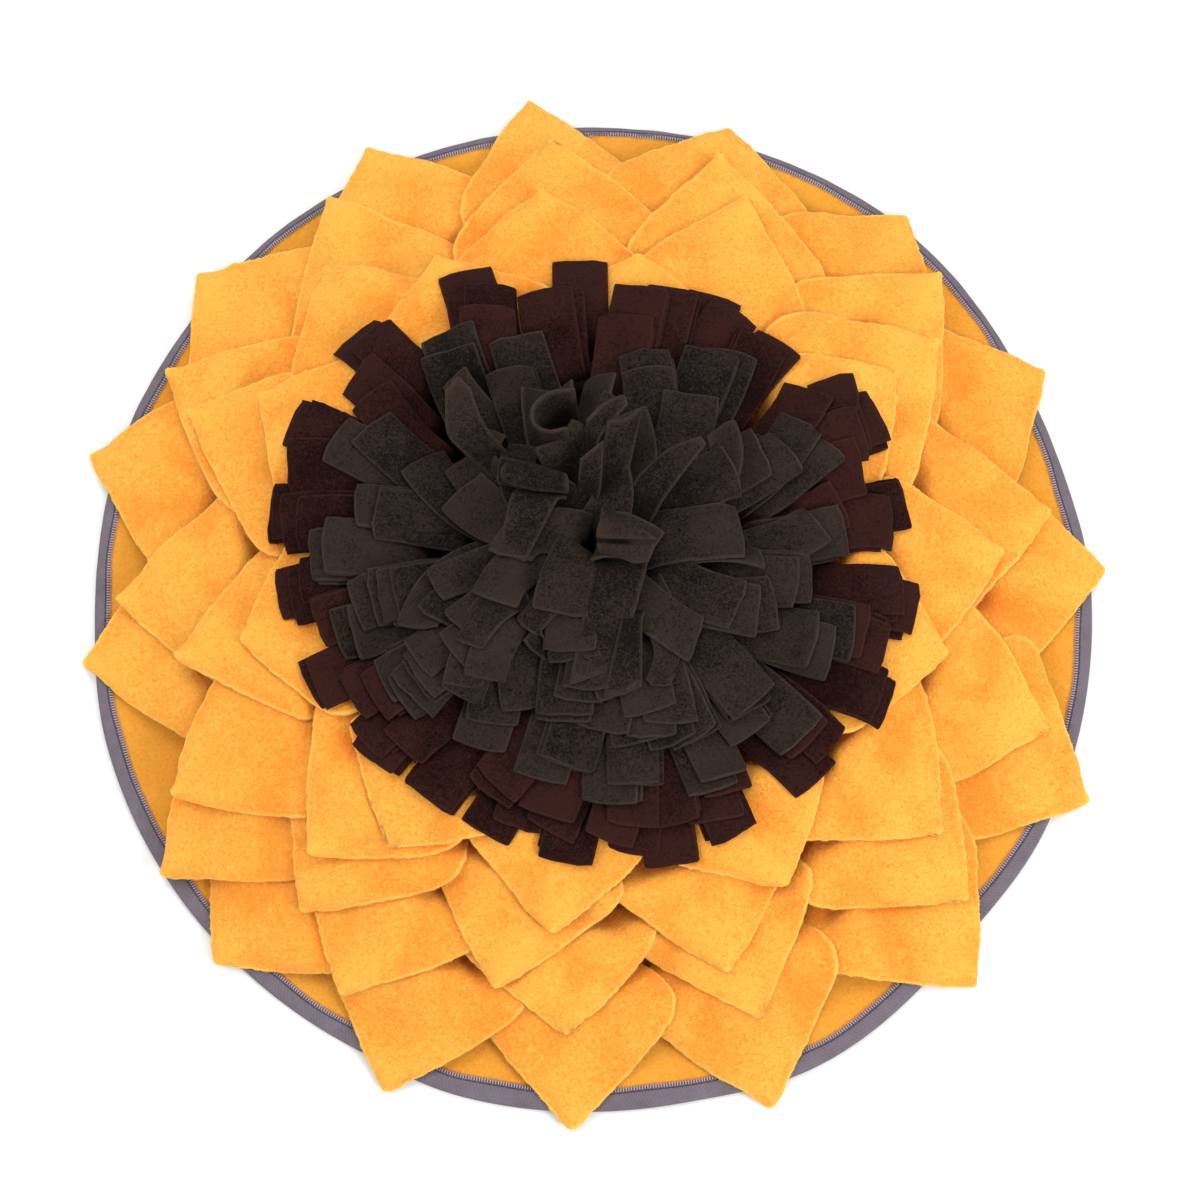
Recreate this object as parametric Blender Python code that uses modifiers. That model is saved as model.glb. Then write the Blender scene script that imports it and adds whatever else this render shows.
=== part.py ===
"""Snuffle mat in the form of a sunflower, built by a Blender 4.5 script.

Run it with: blender --background --python part.py
Units are metres, +Z is up and the mat lies on z = 0, with its middle at the origin.
Bearings are in degrees, turning left from +X as seen from above.

A round of fleece with a bound rim carries four rings of petals and, in the middle, seven combs of
fleece strips. Each petal or strip is sewn down at its inner end, rises steeply from that seam to a
crest, and then falls outwards over what was sewn before it. A relief map of the mat holds how high
the cloth already reaches at each spot, and every new piece is raised until it clears that map.
"""

import math

import bpy
import numpy as np

# ------------------------------------------------------------------ driving dimensions
MAT_RADIUS = 0.250  # to the outer edge of the binding, on average
BASE_THICKNESS = 0.0027  # fleece of the base
TAPE_THICKNESS = 0.0010  # one leaf of the binding
TAPE_REACH = 0.0080  # from the rim inwards, both leaves
TAPE_CHAMFER = 0.0007  # at the folded edge of the tape
FLEECE_THICKNESS = 0.0020  # petals and strips
GAP = 0.0004  # clear distance between two pieces
STRIP_GAP = 0.0010  # the same under a strip, whose steep part leans closer than it stands above
RIM_STEPS = 48  # facets round the base and the binding

PETAL_SEAM_HALF = 0.011  # half the width of a petal's pinched end
PETAL_NECK_HALF = 0.025  # half its width at the crest
PETAL_BULGE = 0.004  # how far its round sides stand out between crest and shoulder
PETAL_BULGE_PLACE = 0.58  # where between crest and shoulder they do
PETAL_BOW = 0.15  # share of the way to the tip that the line between its shoulders bows forward
PETAL_EDGE_DROP = 0.003  # how far its sides hang below its middle line
STEEPEST = 0.45  # Z part of the normal below which a slope isn't made thicker any more

STRIP_WIDTH = 0.0245
HEADING_HEIGHT = 0.010  # uncut part of a comb, above the base
STRIP_RISE_OUT = 0.35  # share of the way out to the crest where a strip is still rising
STRIP_RISE_UP = 0.60  # share of the crest's height at that place
STRIP_HALFWAY_DROP = 0.35  # share of its fall that a strip has made halfway from crest to tip
FRINGE_CENTRE = (0.0, 0.009)  # the fringe is sewn a little off the middle of the base

CELL = 0.001  # spacing of the relief map
MAP_HALF = 0.290  # it covers the mat from -MAP_HALF to +MAP_HALF
SETTLE_PASSES = 40  # rounds of raising a piece a little wherever it sits too low
SETTLE_EASE = 0.4  # share of the lift that is made in each round but the last

# The rim isn't a true circle. Bearing and radius of the rim, going round once.
RIM = (
    (0, 0.2495),
    (18, 0.2465),
    (56, 0.2535),
    (90, 0.2513),
    (125, 0.2525),
    (156, 0.2506),
    (182, 0.2472),
    (198, 0.2496),
    (242, 0.2487),
    (256, 0.2518),
    (280, 0.2510),
    (294, 0.2542),
    (318, 0.2480),
    (332, 0.2503),
)

# Rings of petals, in the order of sewing. Distances from the middle of the mat to the seam and the
# crest, and the heights of a petal's underside at crest, shoulders, halfway down to the tip and tip.
RINGS = {
    "a": {"seam": 0.178, "crest": 0.198, "heights": (0.0200, 0.0155, 0.0090, 0.0015)},
    "b": {"seam": 0.150, "crest": 0.172, "heights": (0.0310, 0.0260, 0.0200, 0.0140)},
    "c": {"seam": 0.124, "crest": 0.147, "heights": (0.0410, 0.0360, 0.0310, 0.0250)},
    "d": {"seam": 0.101, "crest": 0.124, "heights": (0.0490, 0.0460, 0.0420, 0.0370)},
}

# Petals as they lie. Bearing and distance, in degrees and millimetres, of the tip, of the left
# shoulder and of the right shoulder, where the straight sides of the tip begin.
PETALS = {
    "a": (
        (116, 266, 126, 233, 105, 226),
        (97, 269, 105, 230, 85, 224),
        (74, 261, 85, 229, 61, 229),
        (51, 258, 61, 227, 38, 226),
        (27, 259, 38, 223, 14, 217),
        (3, 257, 12, 226, -9, 219),
        (-23, 264, -9, 223, -33, 223),
        (-46, 267, -35, 227, -58, 220),
        (-71, 264, -59, 223, -81, 219),
        (-92, 260, -81, 217, -102, 222),
        (-112, 261, -101, 216, -122, 227),
        (-135, 256, -124, 225, -144, 226),
        (-172, 253, -160, 212, -183, 222),
        (-196, 263, -184, 219, -207, 230),
        (-220, 264, -208, 230, -232, 230),
    ),
    "b": (
        (-237, 248, -219, 195, -248, 194),
        (95, 240, 109, 198, 82, 199),
        (74, 239, 82, 188, 56, 204),
        (43, 243, 54, 196, 28, 197),
        (10, 232, 25, 192, -2, 190),
        (-17, 233, -5, 193, -29, 199),
        (-40, 236, -29, 199, -54, 193),
        (-69, 223, -55, 182, -82, 180),
        (-93, 216, -82, 182, -107, 190),
        (-121, 230, -108, 187, -132, 200),
        (-146, 250, -135, 202, -159, 208),
        (-179, 234, -167, 193, -193, 192),
        (-208, 243, -195, 194, -220, 199),
    ),
    "c": (
        (97, 208, 111, 181, 82, 169),
        (69, 218, 80, 174, 51, 173),
        (36, 215, 51, 177, 20, 171),
        (5, 203, 16, 166, -9, 174),
        (-36, 207, -20, 173, -51, 161),
        (-71, 198, -58, 169, -86, 153),
        (-103, 200, -87, 160, -117, 160),
        (-131, 210, -118, 170, -147, 170),
        (-153, 226, -142, 186, -165, 189),
        (-170, 205, -155, 158, -186, 161),
        (-204, 220, -188, 168, -217, 180),
        (-231, 213, -217, 185, -242, 177),
    ),
    "d": (
        (115, 183, 132, 160, 100, 153),
        (82, 168, 97, 145, 65, 148),
        (35, 185, 50, 148, 18, 148),
        (-12, 175, 3, 146, -29, 148),
        (-58, 174, -42, 148, -73, 144),
        (-96, 171, -81, 139, -115, 137),
        (-135, 188, -121, 156, -152, 149),
        (-126, 161, -112, 135, -145, 137),
        (-170, 171, -154, 145, -187, 148),
        (-210, 189, -194, 155, -224, 162),
    ),
}

# Combs, in the order of sewing. All distances are from the middle of the fringe.
COMBS = (
    {"name": "fringe_black_low", "seam": 0.084, "crest": 0.100, "top": 0.055, "reach": 0.153,
     "tip": 0.044, "strips": 22, "turn": 92, "fleece": "black"},
    {"name": "fringe_black_high", "seam": 0.072, "crest": 0.088, "top": 0.061, "reach": 0.143,
     "tip": 0.049, "strips": 19, "turn": 80, "fleece": "black"},
    {"name": "fringe_charcoal_1", "seam": 0.060, "crest": 0.076, "top": 0.067, "reach": 0.130,
     "tip": 0.054, "strips": 16, "turn": 96, "fleece": "charcoal"},
    {"name": "fringe_charcoal_2", "seam": 0.048, "crest": 0.063, "top": 0.073, "reach": 0.115,
     "tip": 0.060, "strips": 12, "turn": 84, "fleece": "charcoal"},
    {"name": "fringe_charcoal_3", "seam": 0.036, "crest": 0.050, "top": 0.078, "reach": 0.097,
     "tip": 0.067, "strips": 9, "turn": 70, "fleece": "charcoal"},
    {"name": "fringe_charcoal_4", "seam": 0.024, "crest": 0.036, "top": 0.083, "reach": 0.077,
     "tip": 0.074, "strips": 6, "turn": 100, "fleece": "charcoal"},
    {"name": "fringe_charcoal_5", "seam": 0.012, "crest": 0.021, "top": 0.086, "reach": 0.054,
     "tip": 0.080, "strips": 3, "turn": 60, "fleece": "charcoal"},
)

# How far each strip of the lowest comb reaches, compared with the comb's own reach, going round.
LOW_COMB_REACH = (
    1.00, 0.94, 0.96, 1.01, 1.05, 1.02, 1.03, 1.03, 1.01, 0.99, 1.01,
    0.99, 0.96, 0.94, 0.96, 0.98, 1.01, 1.03, 1.05, 1.06, 1.05, 1.03,
)
UNEVEN_REACH = 0.05  # by how much the strips of the other combs differ in reach
UNEVEN_TURN = 2.4  # radians from strip to strip in that unevenness

# Base colour (linear) and roughness of each cloth.
CLOTHS = {
    "petal": ((0.960, 0.447, 0.076), 0.90),
    "base": ((0.850, 0.394, 0.049), 0.92),
    "tape": ((0.220, 0.180, 0.212), 0.75),
    "black": ((0.034, 0.013, 0.012), 0.95),
    "charcoal": ((0.029, 0.020, 0.016), 0.95),
}


# ------------------------------------------------------------------ small helpers
def clear_scene():
    for thing in list(bpy.data.objects):
        bpy.data.objects.remove(thing, do_unlink=True)
    for group in list(bpy.data.collections):
        bpy.data.collections.remove(group)


def make_cloth_materials():
    made = {}
    for name, (colour, roughness) in CLOTHS.items():
        material = bpy.data.materials.new("cloth_" + name)
        material.use_nodes = True
        shader = material.node_tree.nodes["Principled BSDF"]
        shader.inputs["Base Color"].default_value = (*colour, 1.0)
        shader.inputs["Roughness"].default_value = roughness
        shader.inputs["Metallic"].default_value = 0.0
        made[name] = material
    return made


def add_piece(name, mesh, material, collection):
    piece = bpy.data.objects.new(name, mesh)
    collection.objects.link(piece)
    mesh.materials.clear()
    mesh.materials.append(material)
    return piece


def around(bearing, distance, middle=(0.0, 0.0)):
    """The point at that bearing and distance from the middle."""
    angle = math.radians(bearing)
    return np.array(middle) + distance * np.array((math.cos(angle), math.sin(angle)))


def rim_radius(bearing):
    """Radius of the uneven rim, eased between the rows of RIM."""
    bearing %= 360.0
    rows = RIM + ((RIM[0][0] + 360, RIM[0][1]),)
    for (from_bearing, from_radius), (to_bearing, to_radius) in zip(rows, rows[1:]):
        if bearing <= to_bearing:
            share = (bearing - from_bearing) / (to_bearing - from_bearing)
            eased = (1.0 - math.cos(math.pi * share)) / 2.0
            return from_radius + (to_radius - from_radius) * eased


# ------------------------------------------------------------------ base and binding
def turned_mesh(name, profile, closed):
    """Turns a profile of (radius, height) points about Z, then lets it follow the uneven rim."""
    edges = [(i, i + 1) for i in range(len(profile) - 1)]
    if closed:
        edges.append((len(profile) - 1, 0))
    line = bpy.data.meshes.new(name + "_profile")
    line.from_pydata([(radius, 0.0, height) for radius, height in profile], edges, [])
    guide = bpy.data.objects.new(name + "_profile", line)
    bpy.context.scene.collection.objects.link(guide)
    screw = guide.modifiers.new("turn", "SCREW")
    screw.steps = RIM_STEPS
    screw.render_steps = RIM_STEPS
    screw.use_merge_vertices = True
    screw.merge_threshold = 0.00001
    graph = bpy.context.evaluated_depsgraph_get()
    mesh = bpy.data.meshes.new_from_object(guide.evaluated_get(graph))
    mesh.name = name
    bpy.data.objects.remove(guide, do_unlink=True)
    for vertex in mesh.vertices:
        bearing = math.degrees(math.atan2(vertex.co.y, vertex.co.x))
        stretch = rim_radius(bearing) / MAT_RADIUS
        vertex.co.x *= stretch
        vertex.co.y *= stretch
    return mesh


def base_profile():
    """Fleece of one thickness, thinned from below where the lower leaf of the binding wraps it."""
    step = MAT_RADIUS - TAPE_REACH - 2.0 * GAP
    rim = MAT_RADIUS - TAPE_THICKNESS - GAP
    wrapped = TAPE_THICKNESS + GAP
    return (
        (0.0, BASE_THICKNESS),
        (rim, BASE_THICKNESS),
        (rim, wrapped),
        (step, wrapped),
        (step, 0.0),
        (0.0, 0.0),
    )


def binding_profile():
    """Tape folded over the rim: an upper leaf, the folded edge and a lower leaf."""
    inner = MAT_RADIUS - TAPE_REACH
    under = BASE_THICKNESS + GAP
    top = under + TAPE_THICKNESS
    fold = MAT_RADIUS - TAPE_THICKNESS
    return (
        (MAT_RADIUS - TAPE_CHAMFER, top),
        (MAT_RADIUS, top - TAPE_CHAMFER),
        (MAT_RADIUS, TAPE_CHAMFER),
        (MAT_RADIUS - TAPE_CHAMFER, 0.0),
        (inner, 0.0),
        (inner, TAPE_THICKNESS),
        (fold, TAPE_THICKNESS),
        (fold, under),
        (inner, under),
        (inner, top),
    )


# ------------------------------------------------------------------ relief map
class Relief:
    """How high the cloth reaches so far, on a square grid of cells over the mat."""

    def __init__(self):
        self.count = int(round(2.0 * MAP_HALF / CELL))
        line = (np.arange(self.count) + 0.5) * CELL - MAP_HALF
        x, y = np.meshgrid(line, line, indexing="ij")
        distance = np.hypot(x, y)
        rim = np.vectorize(rim_radius)(np.degrees(np.arctan2(y, x)))
        tape_top = BASE_THICKNESS + GAP + TAPE_THICKNESS
        inner = rim * (MAT_RADIUS - TAPE_REACH) / MAT_RADIUS
        self.top = np.where(distance < inner - CELL, BASE_THICKNESS, tape_top)
        self.top[distance > rim + CELL] = 0.0
        self.line = line

    def widened(self):
        """The map with each cell as high as the highest of its neighbours."""
        wide = self.top.copy()
        for shift in (-1, 1):
            wide = np.maximum(wide, np.roll(self.top, shift, axis=0))
        tall = wide.copy()
        for shift in (-1, 1):
            tall = np.maximum(tall, np.roll(wide, shift, axis=1))
        return tall

    def samples(self, flat, triangles):
        """Cells inside the triangles, with corner numbers and weights, and the corners themselves."""
        cells, corners, weights = [], [], []
        for triangle in triangles:
            a, b, c = (flat[i] for i in triangle)
            turn = (b[0] - a[0]) * (c[1] - a[1]) - (b[1] - a[1]) * (c[0] - a[0])
            low = np.floor((np.min((a, b, c), axis=0) + MAP_HALF) / CELL).astype(int)
            high = np.ceil((np.max((a, b, c), axis=0) + MAP_HALF) / CELL).astype(int)
            i, j = np.meshgrid(
                np.arange(low[0], high[0] + 1), np.arange(low[1], high[1] + 1), indexing="ij"
            )
            i, j = i.ravel(), j.ravel()
            x, y = self.line[i], self.line[j]
            second = ((x - a[0]) * (c[1] - a[1]) - (y - a[1]) * (c[0] - a[0])) / turn
            third = ((b[0] - a[0]) * (y - a[1]) - (b[1] - a[1]) * (x - a[0])) / turn
            share = np.stack((1.0 - second - third, second, third), axis=1)
            inside = share.min(axis=1) >= 0.0
            cells.append(np.stack((i, j), axis=1)[inside])
            weights.append(share[inside])
            corners.append(np.tile(triangle, (int(inside.sum()), 1)))
        own = np.floor((flat + MAP_HALF) / CELL).astype(int)
        cells.append(own)
        corners.append(np.repeat(np.arange(len(flat))[:, None], 3, axis=1))
        weights.append(np.tile((1.0, 0.0, 0.0), (len(flat), 1)))
        return np.concatenate(cells), np.concatenate(corners), np.concatenate(weights)

    def settle(self, flat, triangles, wished, gap):
        """Heights of an underside, raised from the wished ones until it clears the map."""
        cells, corners, weights = self.samples(flat, triangles)
        needed = self.widened()[cells[:, 0], cells[:, 1]] + gap
        heights = np.array(wished, dtype=float)
        for step in range(SETTLE_PASSES):
            short = needed - (heights[corners] * weights).sum(axis=1)
            short = np.maximum(short, 0.0)
            push = short[:, None] * weights / (weights**2).sum(axis=1)[:, None]
            lift = np.zeros(len(heights))
            np.maximum.at(lift, corners, push)
            heights += lift if step == SETTLE_PASSES - 1 else SETTLE_EASE * lift
        return heights

    def add(self, flat, triangles, heights):
        """Raises the map to a piece's upper side."""
        cells, corners, weights = self.samples(flat, triangles)
        np.maximum.at(
            self.top, (cells[:, 0], cells[:, 1]), (heights[corners] * weights).sum(axis=1)
        )


# ------------------------------------------------------------------ petals
def upward_share(points, triangles):
    """Z part of the surface's normal at each point, which is 1 where it lies flat."""
    normals = np.zeros((len(points), 3))
    for a, b, c in triangles:
        face = np.cross(points[b] - points[a], points[c] - points[a])
        for corner in (a, b, c):
            normals[corner] += face
    return np.abs(normals[:, 2]) / np.linalg.norm(normals, axis=1)


def closed_sheet(name, lower, upper, triangles):
    """A mesh from a sheet's lower and upper points, joined by a wall along its open edge."""
    count = len(lower)
    faces = [(c, b, a) for a, b, c in triangles]
    faces += [(a + count, b + count, c + count) for a, b, c in triangles]
    sides = {(a, b) for t in triangles for a, b in zip(t, (*t[1:], t[0]))}
    for a, b in sorted(sides):
        if (b, a) not in sides:
            faces.append((a, b, b + count, a + count))
    mesh = bpy.data.meshes.new(name)
    mesh.from_pydata([tuple(p) for p in (*lower, *upper)], [], faces)
    mesh.validate()
    return mesh


def bridge(first, second):
    """Triangles between two rows of point numbers, of any lengths, both counted from the left."""
    made = []
    i = j = 0
    while i < len(first) - 1 or j < len(second) - 1:
        along_first = (i + 1) / max(len(first) - 1, 1) if i < len(first) - 1 else 2.0
        along_second = (j + 1) / max(len(second) - 1, 1) if j < len(second) - 1 else 2.0
        if along_first <= along_second:
            made.append((first[i], first[i + 1], second[j]))
            i += 1
        else:
            made.append((first[i], second[j + 1], second[j]))
            j += 1
    return made


def across(left, middle, right, count):
    """Points of a row that bends through its left end, its middle and its right end."""
    found = []
    for u in np.linspace(-1.0, 1.0, count):
        found.append(left * (u * u - u) / 2 + middle * (1 - u * u) + right * (u * u + u) / 2)
    return found


def petal_outline(ring, row):
    """Rows of flat points from the seam out to the tip, with the wished height of each row."""
    tip_bearing, tip_reach, left_bearing, left_reach, right_bearing, right_reach = row
    crest_height, shoulder_height, halfway_height, tip_height = ring["heights"]
    tip = around(tip_bearing, tip_reach / 1000)
    left = around(left_bearing, left_reach / 1000)
    right = around(right_bearing, right_reach / 1000)
    bearing = (left_bearing + right_bearing) / 2
    seam = around(bearing, ring["seam"])
    crest = around(bearing, ring["crest"])
    side = around(bearing + 90, 1.0)
    crest_left = crest + side * PETAL_NECK_HALF
    crest_right = crest - side * PETAL_NECK_HALF
    low_left = crest_left + (left - crest_left) * PETAL_BULGE_PLACE + side * PETAL_BULGE
    low_right = crest_right + (right - crest_right) * PETAL_BULGE_PLACE - side * PETAL_BULGE
    broad = (left + right) / 2
    broad = broad + (tip - broad) * PETAL_BOW
    low = (crest + broad) / 2
    halfway = (broad + tip) / 2
    low_height = (crest_height + shoulder_height) / 2
    rows = (
        (across(seam + side * PETAL_SEAM_HALF, seam, seam - side * PETAL_SEAM_HALF, 3),
         BASE_THICKNESS + GAP, 0.0),
        (across(crest_left, crest, crest_right, 5), crest_height, PETAL_EDGE_DROP),
        (across(low_left, low, low_right, 5), low_height, PETAL_EDGE_DROP),
        (across(left, broad, right, 5), shoulder_height, PETAL_EDGE_DROP),
        (across((left + tip) / 2, halfway, (right + tip) / 2, 3), halfway_height,
         PETAL_EDGE_DROP / 2),
        ([tip], tip_height, 0.0),
    )
    flat, wished, numbers = [], [], []
    for points, height, drop in rows:
        numbers.append(list(range(len(flat), len(flat) + len(points))))
        for place, point in zip(np.linspace(-1.0, 1.0, len(points)), points):
            flat.append(point)
            wished.append(height - drop * place * place)
    triangles = []
    for first, second in zip(numbers, numbers[1:]):
        triangles += bridge(first, second)
    return np.array(flat), np.array(wished), triangles


def petal_mesh(name, ring, row, relief):
    """A petal sheet, settled on what was sewn before it."""
    flat, wished, triangles = petal_outline(ring, row)
    heights = relief.settle(flat, triangles, wished, GAP)
    lower = np.column_stack((flat, heights))
    thickness = FLEECE_THICKNESS / np.maximum(upward_share(lower, triangles), STEEPEST)
    upper = lower + np.outer(thickness, (0.0, 0.0, 1.0))
    relief.add(flat, triangles, upper[:, 2])
    return closed_sheet(name, lower, upper, triangles)


# ------------------------------------------------------------------ fringe
def strip_reach(comb, number):
    if comb["name"] == COMBS[0]["name"]:
        return comb["reach"] * LOW_COMB_REACH[number]
    return comb["reach"] * (1.0 + UNEVEN_REACH * math.sin(UNEVEN_TURN * number))


def strip_path(comb, reach):
    """Distance out and height along a strip's underside, from the top of the heading to its tip."""
    seam, crest = comb["seam"], comb["crest"]
    rise = seam + (crest - seam) * STRIP_RISE_OUT
    halfway = (crest + reach) / 2
    halfway_height = comb["top"] - STRIP_HALFWAY_DROP * (comb["top"] - comb["tip"])
    return (
        (seam, BASE_THICKNESS + GAP + HEADING_HEIGHT),
        (rise, comb["top"] * STRIP_RISE_UP),
        (crest, comb["top"]),
        (halfway, halfway_height),
        (reach, comb["tip"]),
    )


def inward(path):
    """Unit normals of the path that point to the middle of the mat, and up where it lies flat."""
    points = np.array(path)
    along = np.gradient(points, axis=0)
    along[0] = (0.0, 1.0)
    along /= np.linalg.norm(along, axis=1)[:, None]
    return np.column_stack((-along[:, 1], along[:, 0]))


def comb_mesh(comb, relief):
    """A heading that stands in a ring and the strips cut in it, each bent outwards."""
    count = comb["strips"]
    pitch = 360.0 / count
    foot = BASE_THICKNESS + GAP
    points, faces = [], []

    def point(bearing, distance, sideways, height):
        spot = around(bearing, distance, FRINGE_CENTRE) + around(bearing + 90, sideways)
        points.append((*spot, height))
        return len(points) - 1

    columns = []
    for number in range(count):
        edge = comb["turn"] + (number - 0.5) * pitch
        columns.append([
            point(edge, comb["seam"], 0.0, foot),
            point(edge, comb["seam"], 0.0, foot + HEADING_HEIGHT),
            point(edge, comb["seam"] - FLEECE_THICKNESS, 0.0, foot + HEADING_HEIGHT),
            point(edge, comb["seam"] - FLEECE_THICKNESS, 0.0, foot),
        ])
    laid = []
    for number in range(count):
        right, left = columns[number], columns[(number + 1) % count]
        faces.append((right[0], left[0], left[1], right[1]))
        faces.append((right[2], left[2], left[3], right[3]))
        faces.append((right[3], left[3], left[0], right[0]))
        bearing = comb["turn"] + number * pitch
        path = strip_path(comb, strip_reach(comb, number))
        normals = inward(path)
        flat, wished = [], []
        for distance, height in path[1:]:
            for sideways in (-STRIP_WIDTH / 2, STRIP_WIDTH / 2):
                middle = around(bearing, distance, FRINGE_CENTRE)
                flat.append(middle + around(bearing + 90, sideways))
                wished.append(height)
        flat = np.array(flat)
        triangles = []
        for k in range(0, len(flat) - 2, 2):
            triangles += [(k, k + 2, k + 3), (k, k + 3, k + 1)]
        heights = relief.settle(flat, triangles, wished, STRIP_GAP)
        under, over = [right[1], left[1]], [right[2], left[2]]
        for k, (spot, height) in enumerate(zip(flat, heights)):
            out, up = normals[k // 2 + 1] * FLEECE_THICKNESS
            shifted = spot + around(bearing, out)
            points.append((*spot, height))
            under.append(len(points) - 1)
            points.append((*shifted, height + up))
            over.append(len(points) - 1)
        for k in range(0, len(under) - 2, 2):
            faces.append((under[k], under[k + 1], under[k + 3], under[k + 2]))
            faces.append((over[k + 1], over[k], over[k + 2], over[k + 3]))
            faces.append((over[k], under[k], under[k + 2], over[k + 2]))
            faces.append((under[k + 1], over[k + 1], over[k + 3], under[k + 3]))
        faces.append((under[-2], under[-1], over[-1], over[-2]))
        laid.append(over)
    mesh = bpy.data.meshes.new(comb["name"])
    mesh.from_pydata(points, [], faces)
    mesh.validate()
    for over in laid:
        corners = np.array([points[i] for i in over])
        triangles = []
        for k in range(0, len(over) - 2, 2):
            triangles += [(k, k + 2, k + 3), (k, k + 3, k + 1)]
        relief.add(corners[:, :2], triangles, corners[:, 2])
    return mesh


# ------------------------------------------------------------------ the mat
def build():
    clear_scene()
    collection = bpy.data.collections.new("snuffle_mat")
    bpy.context.scene.collection.children.link(collection)
    cloth = make_cloth_materials()
    base = turned_mesh("base_fleece", base_profile(), closed=False)
    add_piece("base_fleece", base, cloth["base"], collection)
    binding = turned_mesh("binding", binding_profile(), closed=True)
    add_piece("binding", binding, cloth["tape"], collection)
    relief = Relief()
    for letter, ring in RINGS.items():
        for number, row in enumerate(PETALS[letter], start=1):
            name = f"petal_{letter}_{number:02d}"
            mesh = petal_mesh(name, ring, row, relief)
            add_piece(name, mesh, cloth["petal"], collection)
    for comb in COMBS:
        mesh = comb_mesh(comb, relief)
        add_piece(comb["name"], mesh, cloth[comb["fleece"]], collection)


build()
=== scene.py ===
import math

import bpy
import numpy as np
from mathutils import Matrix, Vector


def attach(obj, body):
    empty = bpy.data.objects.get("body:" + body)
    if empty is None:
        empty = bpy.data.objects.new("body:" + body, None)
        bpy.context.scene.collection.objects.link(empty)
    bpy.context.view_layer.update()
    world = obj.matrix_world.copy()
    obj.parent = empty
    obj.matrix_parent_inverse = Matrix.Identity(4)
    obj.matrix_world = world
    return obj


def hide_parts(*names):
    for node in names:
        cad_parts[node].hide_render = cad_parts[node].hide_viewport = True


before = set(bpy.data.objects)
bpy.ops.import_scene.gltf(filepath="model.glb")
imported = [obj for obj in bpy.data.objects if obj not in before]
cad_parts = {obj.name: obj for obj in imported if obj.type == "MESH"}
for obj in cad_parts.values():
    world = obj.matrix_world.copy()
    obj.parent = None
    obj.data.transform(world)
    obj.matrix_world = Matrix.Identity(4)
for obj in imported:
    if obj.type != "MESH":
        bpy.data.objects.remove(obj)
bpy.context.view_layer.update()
print("frame loaded:", len(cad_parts), "nodes")


def srgb(hexText):
    # a colour as picked on screen, turned to the linear values that shaders take
    parts = [int(hexText[i:i + 2], 16) / 255 for i in (1, 3, 5)]
    return [c / 12.92 if c <= 0.04045 else ((c + 0.055) / 1.055) ** 2.4 for c in parts] + [1.0]


def feed(tree, node, inputs):
    # gives each of a node's inputs a value or the socket that feeds it
    for name, value in inputs.items():
        if isinstance(value, bpy.types.NodeSocket):
            tree.links.new(value, node.inputs[name])
        else:
            node.inputs[name].default_value = value


def addNode(tree, kind, inputs=None, **settings):
    made = tree.nodes.new(kind)
    for name, value in settings.items():
        setattr(made, name, value)
    feed(tree, made, inputs or {})
    return made


def startMaterial(name):
    material = bpy.data.materials.new(name)
    material.use_nodes = True
    tree = material.node_tree
    return material, tree, tree.nodes["Principled BSDF"]


def around(bearing, distance):
    # the point at that bearing (degrees, turning left from +X) and distance from the middle
    angle = np.radians(bearing)
    return np.stack((np.cos(angle) * distance, np.sin(angle) * distance), axis=-1)


def unit(vectors):
    return vectors / np.maximum(np.linalg.norm(vectors, axis=-1, keepdims=True), 1e-12)


def leftOf(direction):
    return np.array((-direction[1], direction[0]))


def runOf(line):
    # distance walked along a line, at each of its points
    steps = np.linalg.norm(np.diff(line, axis=0), axis=1)
    return np.concatenate(([0.0], np.cumsum(steps)))


def valuesAt(values, run, spots):
    # rows of numbers known at the distances in run, read off at other distances along the same line
    return np.stack([np.interp(spots, run, column) for column in values.T], axis=1)


def pointsAt(line, spots):
    # the points that lie those distances along a line
    return valuesAt(line, runOf(line), spots)


def evenly(line, count):
    return pointsAt(line, np.linspace(0, runOf(line)[-1], count))


def bezier(points, shares):
    # a Bezier curve through its first and last point, drawn towards those between
    found = [np.outer(np.ones_like(shares), p) for p in points]
    while len(found) > 1:
        found = [a * (1 - shares)[:, None] + b * shares[:, None] for a, b in zip(found, found[1:])]
    return found[0]


def refined(grid, times):
    # the same grid of points with that many steps where it had one
    for axis in (0, 1):
        count = grid.shape[axis]
        spots = np.linspace(0, count - 1, (count - 1) * times + 1)
        low = np.minimum(spots.astype(int), count - 2)
        share = (spots - low).reshape([-1 if k == axis else 1 for k in range(3)])
        grid = np.take(grid, low, axis) * (1 - share) + np.take(grid, low + 1, axis) * share
    return grid


def smoothed(line, times):
    # numbers or points in a line, their bends softened that many times and their ends kept
    for _ in range(times):
        line[1:-1] = (line[:-2] + line[1:-1] * 2 + line[2:]) / 4
    return line


def meanAround(grid):
    # for each point of a grid, the mean of its four neighbours
    wide = np.pad(grid, 1, mode="edge")
    return (wide[:-2, 1:-1] + wide[2:, 1:-1] + wide[1:-1, :-2] + wide[1:-1, 2:]) / 4


def linked(name, data):
    made = bpy.data.objects.new(name, data)
    bpy.context.scene.collection.objects.link(made)
    return made


def meshPiece(name, points, faces, material):
    mesh = bpy.data.meshes.new(name)
    mesh.from_pydata(points, [], faces)
    mesh.shade_smooth()
    mesh.materials.append(material)
    return linked(name, mesh)


def giveValues(mesh, label, values):
    # a number for each point of a mesh, which its material reads by that label
    layer = mesh.attributes.new(label, "FLOAT", "POINT")
    layer.data.foreach_set("value", values.astype(np.float32))


anyPhase = (0, 6.3)  # about a full turn, in radians

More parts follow.
